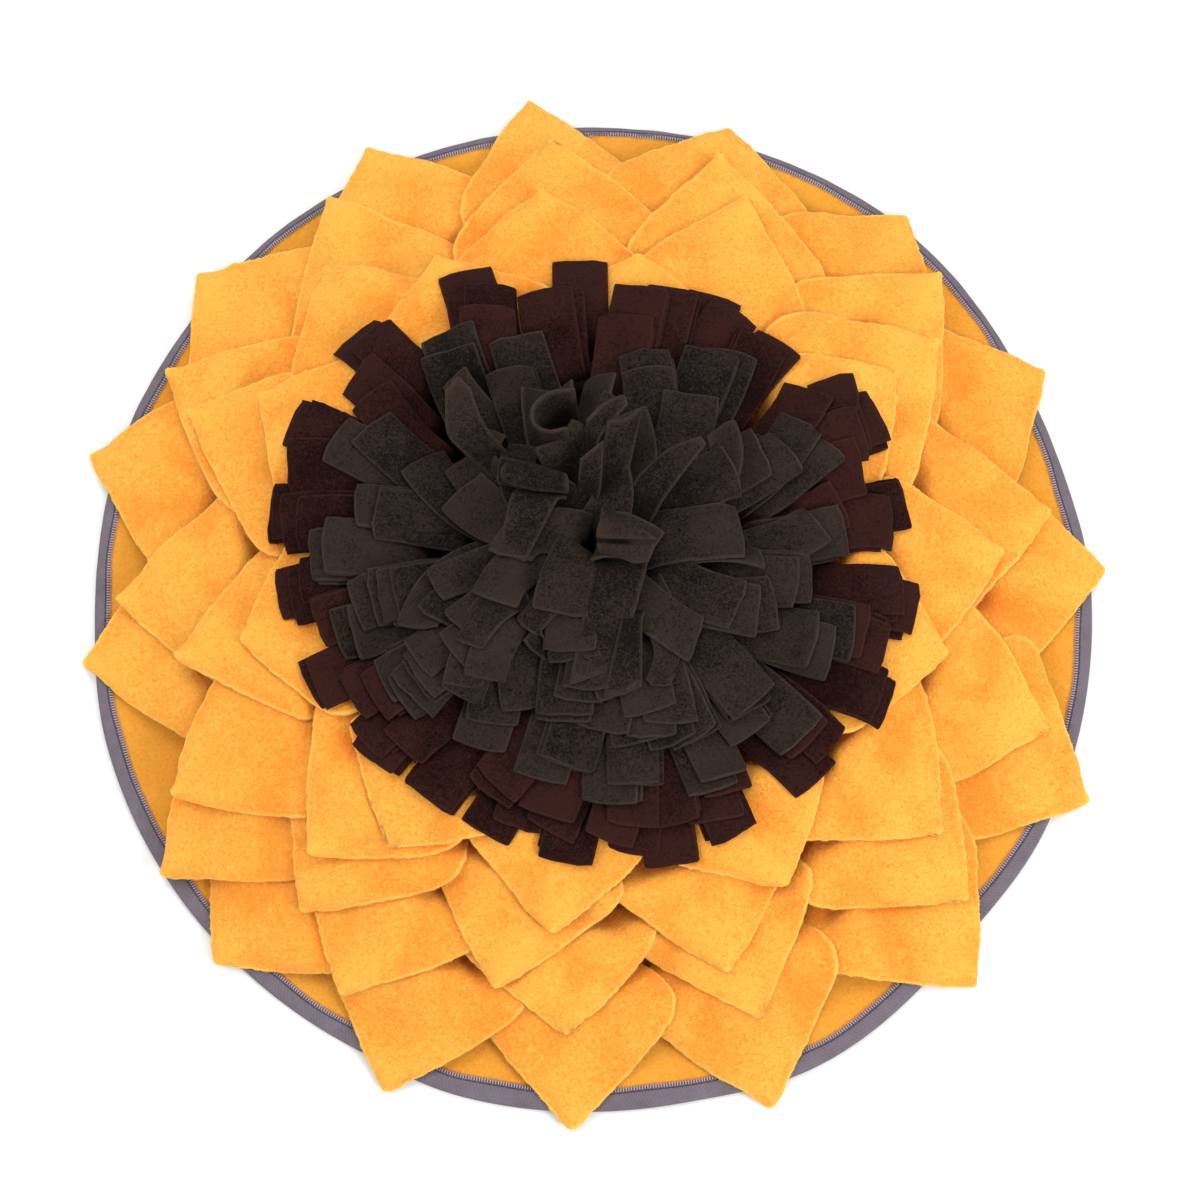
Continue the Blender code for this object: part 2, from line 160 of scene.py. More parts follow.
camera = {
    "side": 1200,  # pixels of the photograph
    "lens": 72.1,  # mm
    "sensor": 36.0,  # mm
    "tilt": 13.0,  # degrees away from straight down
    "distance": 1.2,  # metres from the point it aims at
    "aim": (0.0044, -0.0012, 0.0),
}


def cameraAxes():
    tilt = math.radians(camera["tilt"])
    forward = np.array((0.0, math.sin(tilt), -math.cos(tilt)))
    upward = np.array((0.0, math.cos(tilt), math.sin(tilt)))
    return np.array(camera["aim"]) - forward * camera["distance"], forward, upward


def underPixel(x, y, height):
    # the point at that height which the photograph shows at that pixel
    place, forward, upward = cameraAxes()
    focal = camera["lens"] / camera["sensor"] * camera["side"]
    middle = camera["side"] / 2
    ray = forward + np.array((1.0, 0, 0)) * ((x - middle) / focal) + upward * ((middle - y) / focal)
    return (place + ray * ((height - place[2]) / ray[2]))[:2]


def setCamera():
    lens = bpy.data.cameras.new("camera")
    lens.lens = camera["lens"]
    lens.sensor_width = camera["sensor"]
    eye = linked("camera", lens)
    eye.location = cameraAxes()[0]
    eye.rotation_euler = (math.radians(camera["tilt"]), 0, 0)
    bpy.context.scene.camera = eye


setCamera()
print("camera set")

studio = {
    "floorColour": "#F6F6F4",
    "floorRoughness": 0.9,
    "floorSide": 40.0,  # metres
    "skyColour": "#FFFFFF",
    "skyStrength": 0.78,
    "lamps": {  # place and size in metres, watts
        "softbox_right": ((1.15, -0.75, 1.1), 0.7, 14.0),
        "softbox_left": ((-1.15, 0.20, 1.3), 0.8, 6.5),
        "softbox_above": ((0.1, 0.9, 1.9), 1.1, 10.0),
    },
}


def setStudio():
    scene = bpy.context.scene
    scene.view_settings.view_transform = "Standard"
    world = bpy.data.worlds.new("studio")
    scene.world = world
    world.use_nodes = True
    sky = world.node_tree
    feed(sky, sky.nodes["Background"], {
        "Color": srgb(studio["skyColour"]), "Strength": studio["skyStrength"],
    })
    paper, tree, shader = startMaterial("backdropPaper")  # matt paper, nearly white
    feed(tree, shader, {"Base Color": srgb(studio["floorColour"]), "Roughness": studio["floorRoughness"]})
    half = studio["floorSide"] / 2
    corners = [(-half, -half, 0), (half, -half, 0), (half, half, 0), (-half, half, 0)]
    meshPiece("floor", corners, [(0, 1, 2, 3)], paper)
    for name, (place, size, watts) in studio["lamps"].items():
        lamp = bpy.data.lights.new(name, "AREA")
        lamp.shape = "DISK"
        lamp.size = size
        lamp.energy = watts
        box = linked(name, lamp)
        box.location = place
        box.rotation_euler = (-Vector(place)).to_track_quat("-Z", "Y").to_euler()


setStudio()
print("studio set")

# Each fleece: its colours, its cut edge's paler colour, which is partly painted highlight, how coarse its nap,
# curls and cloudy patches are, how much of them shows, its shine, and how much light passes through it.
petalLook = {
    "pale": "#FFB24C", "deep": "#FF8E30", "edge": "#FFC760", "napMm": 1.5, "curlMm": 2.4, "patchMm": 45.0,
    "patchShare": 0.30, "rimShare": 0.85, "bumpMm": 1.1, "contrast": 3.0,
    "sheen": 0.03, "specular": 0.08, "glow": 0.50,
}
baseLook = {
    "pale": "#ECA742", "deep": "#E2922C", "edge": "#F7BC5C", "napMm": 1.4, "curlMm": 2.2, "patchMm": 30.0,
    "patchShare": 0.6, "rimShare": 0.5, "bumpMm": 0.7, "contrast": 2.7,
    "sheen": 0.02, "specular": 0.05, "glow": 0.35,
}
blackLook = {
    "pale": "#331B18", "deep": "#180A08", "edge": "#442823", "napMm": 1.0, "curlMm": 1.7, "patchMm": 18.0,
    "patchShare": 1.0, "rimShare": 0.45, "bumpMm": 0.5, "contrast": 3.9,
    "sheen": 0.01, "specular": 0.03, "glow": 0.0,
}
charcoalLook = {
    "pale": "#302621", "deep": "#120E0B", "edge": "#483B32", "napMm": 1.0, "curlMm": 1.7, "patchMm": 16.0,
    "patchShare": 1.0, "rimShare": 0.5, "bumpMm": 0.6, "contrast": 4.5,
    "sheen": 0.02, "specular": 0.04, "glow": 0.0,
}


def fleece(name, look):
    # brushed polyester fleece: matt, its short nap clumped into small curls, paler where its cut edge shows,
    # partly from its cut fibres and partly as painted highlight
    material, tree, shader = startMaterial(name)
    where = addNode(tree, "ShaderNodeTexCoord").outputs["Object"]
    nap = addNode(tree, "ShaderNodeTexNoise", {
        "Vector": where, "Scale": 1000 / look["napMm"], "Detail": 3.0, "Roughness": 0.6,
    })
    curl = addNode(tree, "ShaderNodeTexNoise", {
        "Vector": where, "Scale": 1000 / look["curlMm"], "Detail": 1.0, "Distortion": 1.5,
    })
    patch = addNode(tree, "ShaderNodeTexNoise", {
        "Vector": where, "Scale": 1000 / look["patchMm"], "Detail": 1.0,
    })
    tone = addNode(tree, "ShaderNodeAttribute", attribute_name="tone")
    rim = addNode(tree, "ShaderNodeAttribute", attribute_name="rim")
    pile = addNode(tree, "ShaderNodeMix", {"Factor": 0.5, "A": nap.outputs["Fac"], "B": curl.outputs["Fac"]})
    centred = addNode(tree, "ShaderNodeMath", {0: pile.outputs["Result"], 1: 0.5}, operation="SUBTRACT")
    cloudy = addNode(tree, "ShaderNodeMath", {
        0: patch.outputs["Fac"], 1: look["patchShare"], 2: 0.5 - look["patchShare"] / 2,
    }, operation="MULTIPLY_ADD")
    shaded = addNode(tree, "ShaderNodeMath", {
        0: centred.outputs[0], 1: look["contrast"], 2: cloudy.outputs[0],
    }, operation="MULTIPLY_ADD")
    # the tone attribute brings a random tint and painted shade: deeper in hollows, near the pinch and down in
    # the pile, paler where light falls
    toned = addNode(tree, "ShaderNodeMath", {
        0: shaded.outputs[0], 1: tone.outputs["Fac"],
    }, operation="ADD", use_clamp=True)
    body = addNode(tree, "ShaderNodeMix", {
        "Factor": toned.outputs[0], "A": srgb(look["deep"]), "B": srgb(look["pale"]),
    }, data_type="RGBA")
    # painted highlight on the cut edge, mixed with the cut fibres' own paler colour
    edge = addNode(tree, "ShaderNodeMath", {0: rim.outputs["Fac"], 1: look["rimShare"]}, operation="MULTIPLY")
    edged = addNode(tree, "ShaderNodeMix", {
        "Factor": edge.outputs[0], "A": body.outputs["Result"], "B": srgb(look["edge"]),
    }, data_type="RGBA")
    bump = addNode(tree, "ShaderNodeBump", {
        "Height": pile.outputs["Result"], "Strength": 1.0, "Distance": look["bumpMm"] / 1000,
    })
    feed(tree, shader, {
        "Base Color": edged.outputs["Result"], "Normal": bump.outputs["Normal"], "Roughness": 0.95,
        "Specular IOR Level": look["specular"], "Sheen Weight": look["sheen"], "Sheen Roughness": 0.6,
        "Subsurface Weight": look["glow"], "Subsurface Radius": (1.0, 0.6, 0.3), "Subsurface Scale": 0.007,
    })
    return material


tapeLook = {
    "pale": "#857A84", "deep": "#463E48", "twillMm": 0.75, "slant": 35.0, "bumpMm": 0.2, "ribs": 0.12,
    "wearScale": 120.0, "fibreScale": 1300.0,  # blotches and fibres in a metre
    "thread": "#8F86A0", "ply": "#C6BCC8", "seam": "#2C2530", "seamPly": "#453C49", "plyMm": 0.4,
}


def twillTape(name, look):
    # woven polyester tape in a fine twill: slanting ribs, a little shine
    material, tree, shader = startMaterial(name)
    weave = addNode(tree, "ShaderNodeUVMap", uv_map="weave").outputs["UV"]
    turned = addNode(tree, "ShaderNodeMapping", {
        "Vector": weave, "Rotation": (0, 0, math.radians(look["slant"])),
    })
    ribs = addNode(tree, "ShaderNodeTexWave", {
        "Vector": turned.outputs["Vector"], "Scale": 1000 / look["twillMm"] / (2 * math.pi),
        "Distortion": 0.8, "Detail": 1.0,
    })
    where = addNode(tree, "ShaderNodeTexCoord").outputs["Object"]
    wear = addNode(tree, "ShaderNodeTexNoise", {"Vector": where, "Scale": look["wearScale"], "Detail": 3.0})
    fibre = addNode(tree, "ShaderNodeTexNoise", {"Vector": where, "Scale": look["fibreScale"], "Detail": 2.0})
    both = addNode(tree, "ShaderNodeMix", {
        "Factor": 0.5, "A": fibre.outputs["Fac"], "B": wear.outputs["Fac"],
    })
    grain = addNode(tree, "ShaderNodeMix", {
        "Factor": look["ribs"], "A": both.outputs["Result"], "B": ribs.outputs["Fac"],
    })
    body = addNode(tree, "ShaderNodeMix", {
        "Factor": grain.outputs["Result"], "A": srgb(look["deep"]), "B": srgb(look["pale"]),
    }, data_type="RGBA")
    bump = addNode(tree, "ShaderNodeBump", {
        "Height": grain.outputs["Result"], "Strength": 0.8, "Distance": look["bumpMm"] / 1000,
    })
    feed(tree, shader, {
        "Base Color": body.outputs["Result"], "Normal": bump.outputs["Normal"],
        "Roughness": 0.62, "Specular IOR Level": 0.25,
    })
    return material


def sewingThread(name, hexText, plyHex):
    # spun polyester thread: twisted plies, slightly glossy
    material, tree, shader = startMaterial(name)
    where = addNode(tree, "ShaderNodeTexCoord").outputs["Object"]
    plies = addNode(tree, "ShaderNodeTexNoise", {
        "Vector": where, "Scale": 1000 / tapeLook["plyMm"], "Detail": 1.0,
    })
    body = addNode(tree, "ShaderNodeMix", {
        "Factor": plies.outputs["Fac"], "A": srgb(hexText), "B": srgb(plyHex),
    }, data_type="RGBA")
    feed(tree, shader, {"Base Color": body.outputs["Result"], "Roughness": 0.5})
    return material


petalFleece = fleece("petalFleece", petalLook)
baseFleece = fleece("baseFleece", baseLook)
blackFleece = fleece("blackFleece", blackLook)
charcoalFleece = fleece("charcoalFleece", charcoalLook)
tape = twillTape("twillTape", tapeLook)
paleThread = sewingThread("paleThread", tapeLook["thread"], tapeLook["ply"])
seamThread = sewingThread("seamThread", tapeLook["seam"], tapeLook["seamPly"])
print("materials made")


cutEdge = {
    "bulge": 0.35,  # how far a cut edge rounds out, as a share of the thickness
    "nearTone": 0.7,  # how much of the edge's paler colour, partly painted highlight, the nap beside it has
}


def closedSheet(middle, thickness, rimReach):
    # points on a sheet's middle, rows leading out and columns to the right, made a sheet with a rounded edge
    rows, columns = middle.shape[:2]
    along = unit(np.gradient(middle, axis=0))
    across = unit(np.gradient(middle, axis=1))
    normal = unit(np.cross(across, along))
    upper = middle + normal * thickness / 2
    lower = middle - normal * thickness / 2
    number = np.arange(rows * columns).reshape(rows, columns)
    walk = np.concatenate((number[0, :-1], number[:-1, -1], number[-1, :0:-1], number[:0:-1, 0]))
    outward = np.zeros_like(middle)
    outward[:, 0] -= across[:, 0]
    outward[:, -1] += across[:, -1]
    outward[0] -= along[0]
    outward[-1] += along[-1]
    edgeOut = unit(outward.reshape(-1, 3)[walk])
    bulge = middle.reshape(-1, 3)[walk] + edgeOut * thickness * cutEdge["bulge"]
    under = rows * columns
    ring = np.arange(len(walk)) + 2 * under
    after, ringAfter = np.roll(walk, -1), np.roll(ring, -1)
    a, b, c, d = (n.ravel() for n in (number[:-1, :-1], number[:-1, 1:], number[1:, 1:], number[1:, :-1]))
    quads = np.concatenate((
        np.stack((a, b, c, d), axis=1),
        np.stack((d, c, b, a), axis=1) + under,
        np.stack((ring, ringAfter, after, walk), axis=1),
        np.stack((walk + under, after + under, ringAfter, ring), axis=1),
    ))
    inside = np.minimum.reduce([
        np.linalg.norm(middle - middle[:, :1], axis=2),
        np.linalg.norm(middle - middle[:, -1:], axis=2),
        np.linalg.norm(middle - middle[-1:], axis=2),
    ])
    # the pale cut edge, partly painted highlight, fades out over rimReach
    near = np.clip(1 - inside / rimReach, 0, 1).ravel() * cutEdge["nearTone"]
    return {
        "points": np.concatenate((upper.reshape(-1, 3), lower.reshape(-1, 3), bulge)),
        "quads": quads,
        "rim": np.concatenate((near, near, np.ones(len(walk)))),
        "upper": upper,
        "middle": middle,
        "walk": walk,
        "edgeLine": bulge,
        "edgeOut": edgeOut,
    }


def joinSheets(name, sheets, tones, material):
    # one mesh object of several sheets, each with one tone or a tone for each of its points; a tone holds a
    # random tint and painted shade
    points, quads, rims, shades = [], [], [], []
    count = 0
    for sheet, tone in zip(sheets, tones):
        points.append(sheet["points"])
        quads.append(sheet["quads"] + count)
        rims.append(sheet["rim"])
        onFace = np.broadcast_to(tone, sheet["middle"].shape[:2]).ravel()
        shades.append(np.concatenate((onFace, onFace, onFace[sheet["walk"]])))
        count += len(sheet["points"])
    piece = meshPiece(name, np.concatenate(points), np.concatenate(quads).tolist(), material)
    giveValues(piece.data, "rim", np.concatenate(rims))
    giveValues(piece.data, "tone", np.concatenate(shades))
    return piece


def finishPiece(piece, slot, *nodes):
    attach(piece, "root")
    if nodes:
        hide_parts(*nodes)


heap = {  # how high the cloth reaches so far, in square cells over the mat
    "half": 0.300,
    "cell": 0.001,
    "top": np.zeros((600, 600)),
}


def heapCells(place):
    found = np.floor((place[..., :2] + heap["half"]) / heap["cell"]).astype(int)
    found = np.clip(found, 1, len(heap["top"]) - 2)
    return found[..., 0], found[..., 1]


def heapUnder(place):
    # the highest cloth in the cell below each point and in the eight round it
    i, j = heapCells(place)
    return np.maximum.reduce([heap["top"][i + down, j + over] for down in (-1, 0, 1) for over in (-1, 0, 1)])


def layOnHeap(surface, times):
    fine = refined(surface, times)
    np.maximum.at(heap["top"], heapCells(fine), fine[..., 2])


def bridged(short, steps, stiffness):
    # how far each point of a cloth is lifted: by what it lacks at least, fading out smoothly round about
    lift = np.maximum(short, 0.0)
    for _ in range(steps):
        lift = np.maximum(short, meanAround(lift) * stiffness)
    return lift


matEdge = {  # bearing in degrees: radius in mm, eased between
    0: 249.5, 18: 246.5, 56: 253.5, 90: 251.3, 125: 252.5, 156: 250.6, 182: 247.2, 198: 249.6,
    242: 248.7, 256: 251.8, 280: 251.0, 294: 254.2, 318: 248.0, 332: 250.3, 360: 249.5,
}
mat = {
    "radius": 0.250,
    "baseThickness": 0.0027,
    "baseReach": 0.2475,  # the fleece ends inside the fold of the tape
    "innerRings": (0.004, 0.17, 14),  # of the fleece's mesh: first and last radius, and how many
    "outerRings": (0.176, 30),  # first radius, and how many from there to its reach
    "flatFrom": 0.243,  # the fleece lies flat from here out
    "flatFade": 0.02,  # over this much its waves fade out
    "tapeReach": 0.0080,
    "tapeShown": 0.0071,  # how far the upper leaf reaches in on average
    "tapeSwing": 0.0026,  # it is that much wider at the bottom of the photograph and narrower at the top
    "tapeThickness": 0.0010,
    "tapeTop": 0.0041,
    "tapePressed": 0.0008,  # the stitches press the upper leaf's edge down by this much
    "tapeFall": 0.0004,  # its top falls this much towards the fold
    "foldFlat": 0.0002,  # the fold is that much flatter than round
    "foldTake": 0.004,  # what the fold takes of the tape's width
    "turns": 360,
}
baseWaves = ((9, 0.0005, 1.0), (17, 0.0003, 2.0), (31, 0.0002, 0.4))  # waves in a turn, height, phase
tapeWander = ((23, 0.00025, 0.3), (41, 0.00018, 1.9), (7, 0.0003, 4.0))
tapeLumps = ((53, 0.00012, 0.9), (87, 0.00010, 2.2), (29, 0.00012, 5.0))


def edgeRadius(bearing):
    bearing = np.mod(bearing, 360.0)
    marks = np.array(list(matEdge))
    radii = np.array(list(matEdge.values())) / 1000
    k = np.clip(np.searchsorted(marks, bearing, side="right") - 1, 0, len(marks) - 2)
    share = (bearing - marks[k]) / (marks[k + 1] - marks[k])
    return radii[k] + (radii[k + 1] - radii[k]) * (1 - np.cos(np.pi * share)) / 2


def waves(bearing, table):
    return sum(height * np.sin(count * np.radians(bearing) + phase) for count, height, phase in table)


def upperLeaf(bearing):
    # how far in from the rim the tape's upper leaf reaches
    return mat["tapeShown"] - mat["tapeSwing"] * np.sin(np.radians(bearing))


def ringMesh(name, rings, capped, material):
    # rings of points one after another, joined by quads: closed into a tube, or capped at both ends
    count, layers = len(rings[0]), len(rings)
    here, after = np.arange(count), np.roll(np.arange(count), -1)
    quads = []
    for k in range(layers if not capped else layers - 1):
        low, high = k * count, (k + 1) % layers * count
        quads.append(np.stack((here + low, here + high, after + high, after + low), axis=1))
    faces = np.concatenate(quads).tolist()
    if capped:
        faces.append(list(range(count)))
        faces.append(list(range((layers - 1) * count, layers * count))[::-1])
    return meshPiece(name, np.concatenate(rings), faces, material)


def makeBase():
    bearings = np.linspace(0, 360, mat["turns"], endpoint=False)
    stretch = edgeRadius(bearings) / mat["radius"]
    first, count = mat["outerRings"]
    steps = np.concatenate((np.linspace(*mat["innerRings"]), np.linspace(first, mat["baseReach"], count)))
    rings = []
    for radius in steps:
        fade = np.clip((mat["flatFrom"] - radius) / mat["flatFade"], 0, 1)
        height = mat["baseThickness"] + waves(bearings, baseWaves) * fade
        rings.append(np.column_stack((around(bearings, radius * stretch), height)))
    for radius in steps[::-1]:
        rings.append(np.column_stack((around(bearings, radius * stretch), np.zeros(len(bearings)))))
    piece = ringMesh("cloth_base", rings, True, baseFleece)
    for label in ("rim", "tone"):
        giveValues(piece.data, label, np.zeros(len(piece.data.vertices)))
    finishPiece(piece, "base_fleece", "base_fleece")


def tapeSection():
    # the folded tape cut across, as distances out from the rim and heights: round its outside, back inside
    reach, thick, top = mat["tapeReach"], mat["tapeThickness"], mat["tapeTop"]
    fold = top / 2
    hollow = fold - thick
    outer, inner = [], []
    for share in np.linspace(0, 1, 7):
        out = -reach * (1 - share) - fold * share
        pressed = mat["tapePressed"] * (1 - share) ** 3
        fall = mat["tapeFall"] * share**2
        outer.append((out, top - fall - pressed))
        inner.append((out, top - thick - fall - pressed / 2))
    for turn in np.linspace(90, -90, 9)[1:-1]:
        cosine, sine = math.cos(math.radians(turn)), math.sin(math.radians(turn))
        outer.append((-fold + cosine * fold, fold + sine * (fold - mat["foldFlat"])))
        inner.append((-fold + cosine * hollow, fold + sine * hollow))
    for share in np.linspace(0, 1, 5):
        out = -fold * (1 - share) - reach * share
        outer.append((out, 0.0))
        inner.append((out, thick))
    return np.array(outer + inner[::-1])


def makeBinding():
    bearings = np.linspace(0, 360, mat["turns"] * 2, endpoint=False)
    section = tapeSection()
    fold = mat["tapeTop"] / 2
    wider = (upperLeaf(bearings) - fold) / (mat["tapeReach"] - fold)
    rings = []
    for across, height in section:
        onTop = float(height > mat["tapeTop"] / 2)
        leaf = np.clip(-across / mat["tapeReach"], 0, 1)
        stretched = np.where(onTop and across < -fold, -fold + (across + fold) * wider, across)
        radius = edgeRadius(bearings) + stretched + waves(bearings, tapeWander) * leaf * onTop
        lift = waves(bearings, tapeLumps) * onTop * (1.5 - leaf)
        rings.append(np.column_stack((around(bearings, radius), np.maximum(height + lift, 0.0))))
    piece = ringMesh("cloth_binding", rings, False, tape)
    weave = piece.data.uv_layers.new(name="weave")
    count, step = len(bearings), 2 * math.pi * mat["radius"] / len(bearings)
    u0, u1 = np.arange(count) * step, np.arange(1, count + 1) * step
    marks = runOf(np.vstack((section, section[:1])))
    spots = []
    for v0, v1 in zip(marks, marks[1:]):
        low, high = np.full(count, v0), np.full(count, v1)
        spots.append(np.stack((u0, low, u0, high, u1, high, u1, low), axis=1))
    weave.data.foreach_set("uv", np.concatenate(spots).ravel().astype(np.float32))
    finishPiece(piece, "binding_tape", "binding")


def newTree(name, numbers, stuff):
    # a Geometry Nodes tree with named inputs: numbers with their first values, and a material
    tree = bpy.data.node_groups.new(name, "GeometryNodeTree")
    tree.interface.new_socket("Geometry", in_out="INPUT", socket_type="NodeSocketGeometry")
    for label, value in numbers.items():
        tree.interface.new_socket(label, in_out="INPUT", socket_type="NodeSocketFloat").default_value = value
    tree.interface.new_socket(stuff, in_out="INPUT", socket_type="NodeSocketMaterial")
    tree.interface.new_socket("Geometry", in_out="OUTPUT", socket_type="NodeSocketGeometry")
    return tree, addNode(tree, "NodeGroupInput").outputs


def endTree(tree, instances, material):
    real = addNode(tree, "GeometryNodeRealizeInstances", {"Geometry": instances})
    smooth = addNode(tree, "GeometryNodeSetShadeSmooth", {"Geometry": real.outputs["Geometry"]})
    dressed = addNode(tree, "GeometryNodeSetMaterial", {
        "Geometry": smooth.outputs["Geometry"], "Material": material,
    })
    addNode(tree, "NodeGroupOutput", {"Geometry": dressed.outputs["Geometry"]})


def stitchTree():
    # stitches along a curve, each turned out of its line by the slant, with its leading end tilted down
    numbers = {"Pitch": 0.0013, "Length": 0.0021, "Thickness": 0.0005, "Slant": 1.5, "Tilt": 0.0}
    tree, given = newTree("stitches", numbers, "Thread")
    spaced = addNode(tree, "GeometryNodeResampleCurve", {
        "Curve": given["Geometry"], "Length": given["Pitch"],
    }, mode="LENGTH")
    half = addNode(tree, "ShaderNodeMath", {0: given["Thickness"], 1: 0.5}, operation="MULTIPLY")
    bar = addNode(tree, "GeometryNodeMeshCylinder", {
        "Vertices": 6, "Radius": half.outputs[0], "Depth": given["Length"],
    })
    laid = addNode(tree, "GeometryNodeTransform", {
        "Geometry": bar.outputs["Mesh"], "Rotation": (0, math.pi / 2, 0),
    })
    tangent = addNode(tree, "GeometryNodeInputTangent")
    facing = addNode(tree, "FunctionNodeAlignRotationToVector", {"Vector": tangent.outputs[0]}, axis="X")
    jitter = addNode(tree, "FunctionNodeRandomValue", {2: 0.94, 3: 1.06, "Seed": 5}, data_type="FLOAT")
    uneven = addNode(tree, "ShaderNodeMath", {0: given["Slant"], 1: jitter.outputs[1]}, operation="MULTIPLY")
    angles = addNode(tree, "ShaderNodeCombineXYZ", {"Y": given["Tilt"], "Z": uneven.outputs[0]})
    turn = addNode(tree, "FunctionNodeEulerToRotation", {0: angles.outputs[0]})
    turned = addNode(tree, "FunctionNodeRotateRotation", {
        0: facing.outputs[0], 1: turn.outputs[0],
    }, rotation_space="LOCAL")
    placed = addNode(tree, "GeometryNodeInstanceOnPoints", {
        "Points": spaced.outputs["Curve"], "Instance": laid.outputs["Geometry"],
        "Rotation": turned.outputs[0],
    })
    endTree(tree, placed.outputs["Instances"], given["Thread"])
    return tree


def grown(guide, tree, values, name):
    # what a tree makes on a guide object, as a plain mesh object of its own
    modifier = guide.modifiers.new("grow", "NODES")
    modifier.node_group = tree
    for item in tree.interface.items_tree:
        if item.in_out == "INPUT" and item.name in values:
            modifier[item.identifier] = values[item.name]
    graph = bpy.context.evaluated_depsgraph_get()
    mesh = bpy.data.meshes.new_from_object(guide.evaluated_get(graph))
    mesh.name = name
    bpy.data.objects.remove(guide, do_unlink=True)
    return linked(name, mesh)


# distance in from the upper leaf's edge, height, pitch, length, thickness, slant and tilt in radians, thread
stitching = {
    "stitches_edge": (0.0001, 0.0035, 0.0013, 0.0023, 0.0006, math.pi / 2, 0.35, paleThread),
    "stitches_seam": (-0.00165, 0.0039, 0.0033, 0.0028, 0.0005, 0.0, 0.0, seamThread),  # its pitch is a guess
}


def makeStitches():
    tree = stitchTree()
    bearings = np.linspace(0, 360, mat["turns"] * 2, endpoint=False)
    edge = edgeRadius(bearings) - upperLeaf(bearings) + waves(bearings, tapeWander)
    for name, (inset, height, *sizes) in stitching.items():
        path = around(bearings, edge - inset)
        curve = bpy.data.curves.new(name + "_guide", "CURVE")
        curve.dimensions = "3D"
        line = curve.splines.new("POLY")
        line.points.add(len(path) - 1)
        lumps = height + waves(bearings, tapeLumps) * 0.6  # the thread evens out the tape's lumps
        line.points.foreach_set("co", np.column_stack((path, lumps, np.ones(len(path)))).ravel())
        line.use_cyclic_u = True
        values = dict(zip(("Pitch", "Length", "Thickness", "Slant", "Tilt", "Thread"), sizes))
        finishPiece(grown(linked(name + "_guide", curve), tree, values, name), "binding_tape")


bed = {
    "bearingStep": 0.15,  # degrees
    "radiusStep": 0.003,  # as a share of the rim's radius, as the next one is
    "fleeceEnd": 0.96,
    "clearance": 0.0006,  # room for the fleece's waves
}


def bedOnHeap(start, end, height):
    # a level ring between two shares of the rim's radius, for the petals to lie on
    radii = np.arange(start, end, bed["radiusStep"])
    bearing, radius = np.meshgrid(np.arange(0, 360, bed["bearingStep"]), radii, indexing="ij")
    layOnHeap(np.dstack((around(bearing, radius * edgeRadius(bearing)), np.full(bearing.shape, height))), 1)


makeBase()
makeBinding()
makeStitches()
bedOnHeap(0.0, bed["fleeceEnd"], mat["baseThickness"] + bed["clearance"])
bedOnHeap(1 - mat["tapeReach"] / mat["radius"], 1.0, mat["tapeTop"])
print("base and binding made")

petalCut = {
    "thickness": 0.0019,
    "gap": 0.0004,
    "seamHalf": 0.020,  # half the width of the pinched end
    "full": 0.68,  # how far the side bulges out from the pinch, as a share of the way to the shoulder
    "round": 0.42,  # how soft the turn from pinch to side is, as a share of the way between them
    "sideBow": 0.0028,  # the straight sides are a little rounded too
    "tipCut": 0.0026,  # the tip's corner is rounded by this much
    "roundRows": 20,
    "straightRows": 26,
    "columns": 33,
    "spacing": (0.55, 0.45),  # of its columns: how much of it is even, and how much closer at the sides
    "bulgeLean": 0.25,  # how far the bulge and the bow of a side lean towards the tip
    "bowLean": 0.5,
    "tipRound": (0.45, 0.55, 0.45),  # from this share of its length, over this share, by this share of tipCut
    "shoulderPast": 0.006,  # the shoulders lie this far past the crest at least
    "footRise": 0.0016,  # the pinch's middle lies this far above the base
    "rising": (0.55, 0.72),  # that far towards the crest it has risen that much, both as shares
    "easing": 40,  # rounds of softening along its length
    "wave": 0.0021,  # height and lengths of its soft waves
    "waveLengths": (0.026, 0.060),
    "pleat": 0.0060,  # depth, and the shares of it that pleats have
    "pleatDepths": (0.4, 1.2),
    "pleatStarts": (-0.85, -0.3, 0.25, 0.8),  # their ways out of the pinch, in radians, and how far they stray
    "pleatStray": (-0.2, 0.2),
    "pleatWidth": (0.0035, 0.12),  # at the pinch, and what it gains with distance
    "pleatLengths": (0.034, 0.062),
    "pleatGrowth": 0.010,  # they reach their depth this far out
    "curl": 0.0042,  # how far the tip may curl, and the shares of it that tips have
    "curls": (-0.4, 1.0),
    "jitter": 0.00020,  # unevenness of the cut
    "wander": 0.0005,  # how far a cut side wanders, and over what lengths
    "wanderLengths": (0.005, 0.011),
    "steady": (0.02, 0.006),  # near the pinch and near the tip it is cut evenly
    "above": 0.6,  # its middle lies this share of its thickness above the gap to what is below
    "bridging": (120, 0.990),  # rounds in which a lifted spot takes its neighbours along, and how far
    "rimReach": 0.0016,  # how far in the cut edge is painted pale, partly the cut fibres' colour and partly painted highlight
    "paintedHollowShade": 0.15,  # painted shade: hollows are painted deeper orange, and ridges are painted paler where light falls on them
    "paintedShadeDepth": 0.0010,  # a hollow this deep has all of that painted shade
    "toneRounds": 60,  # how wide the surroundings are that a hollow is told from
    "paintedPinchShadeTipLight": 0.85,  # painted shade makes the pinch deeper too, where the petals overlap, and painted light makes the tip paler
    "toneMiddle": 0.55,
    "tint": 0.12,  # how far petals differ in tone
}

# mm: seam and crest from the middle, heights at crest, shoulders, halfway and tip, fall to the sides
petalRings = {
    "a": {"seam": 178, "crest": 198, "heights": (20.0, 15.5, 9.0, 1.5), "fall": 5.0},
    "b": {"seam": 150, "crest": 172, "heights": (31.0, 26.0, 20.0, 14.0), "fall": 5.5},
    "c": {"seam": 124, "crest": 147, "heights": (41.0, 36.0, 31.0, 25.0), "fall": 5.5},
    "d": {"seam": 101, "crest": 124, "heights": (49.0, 46.0, 42.0, 37.0), "fall": 5.0},
}

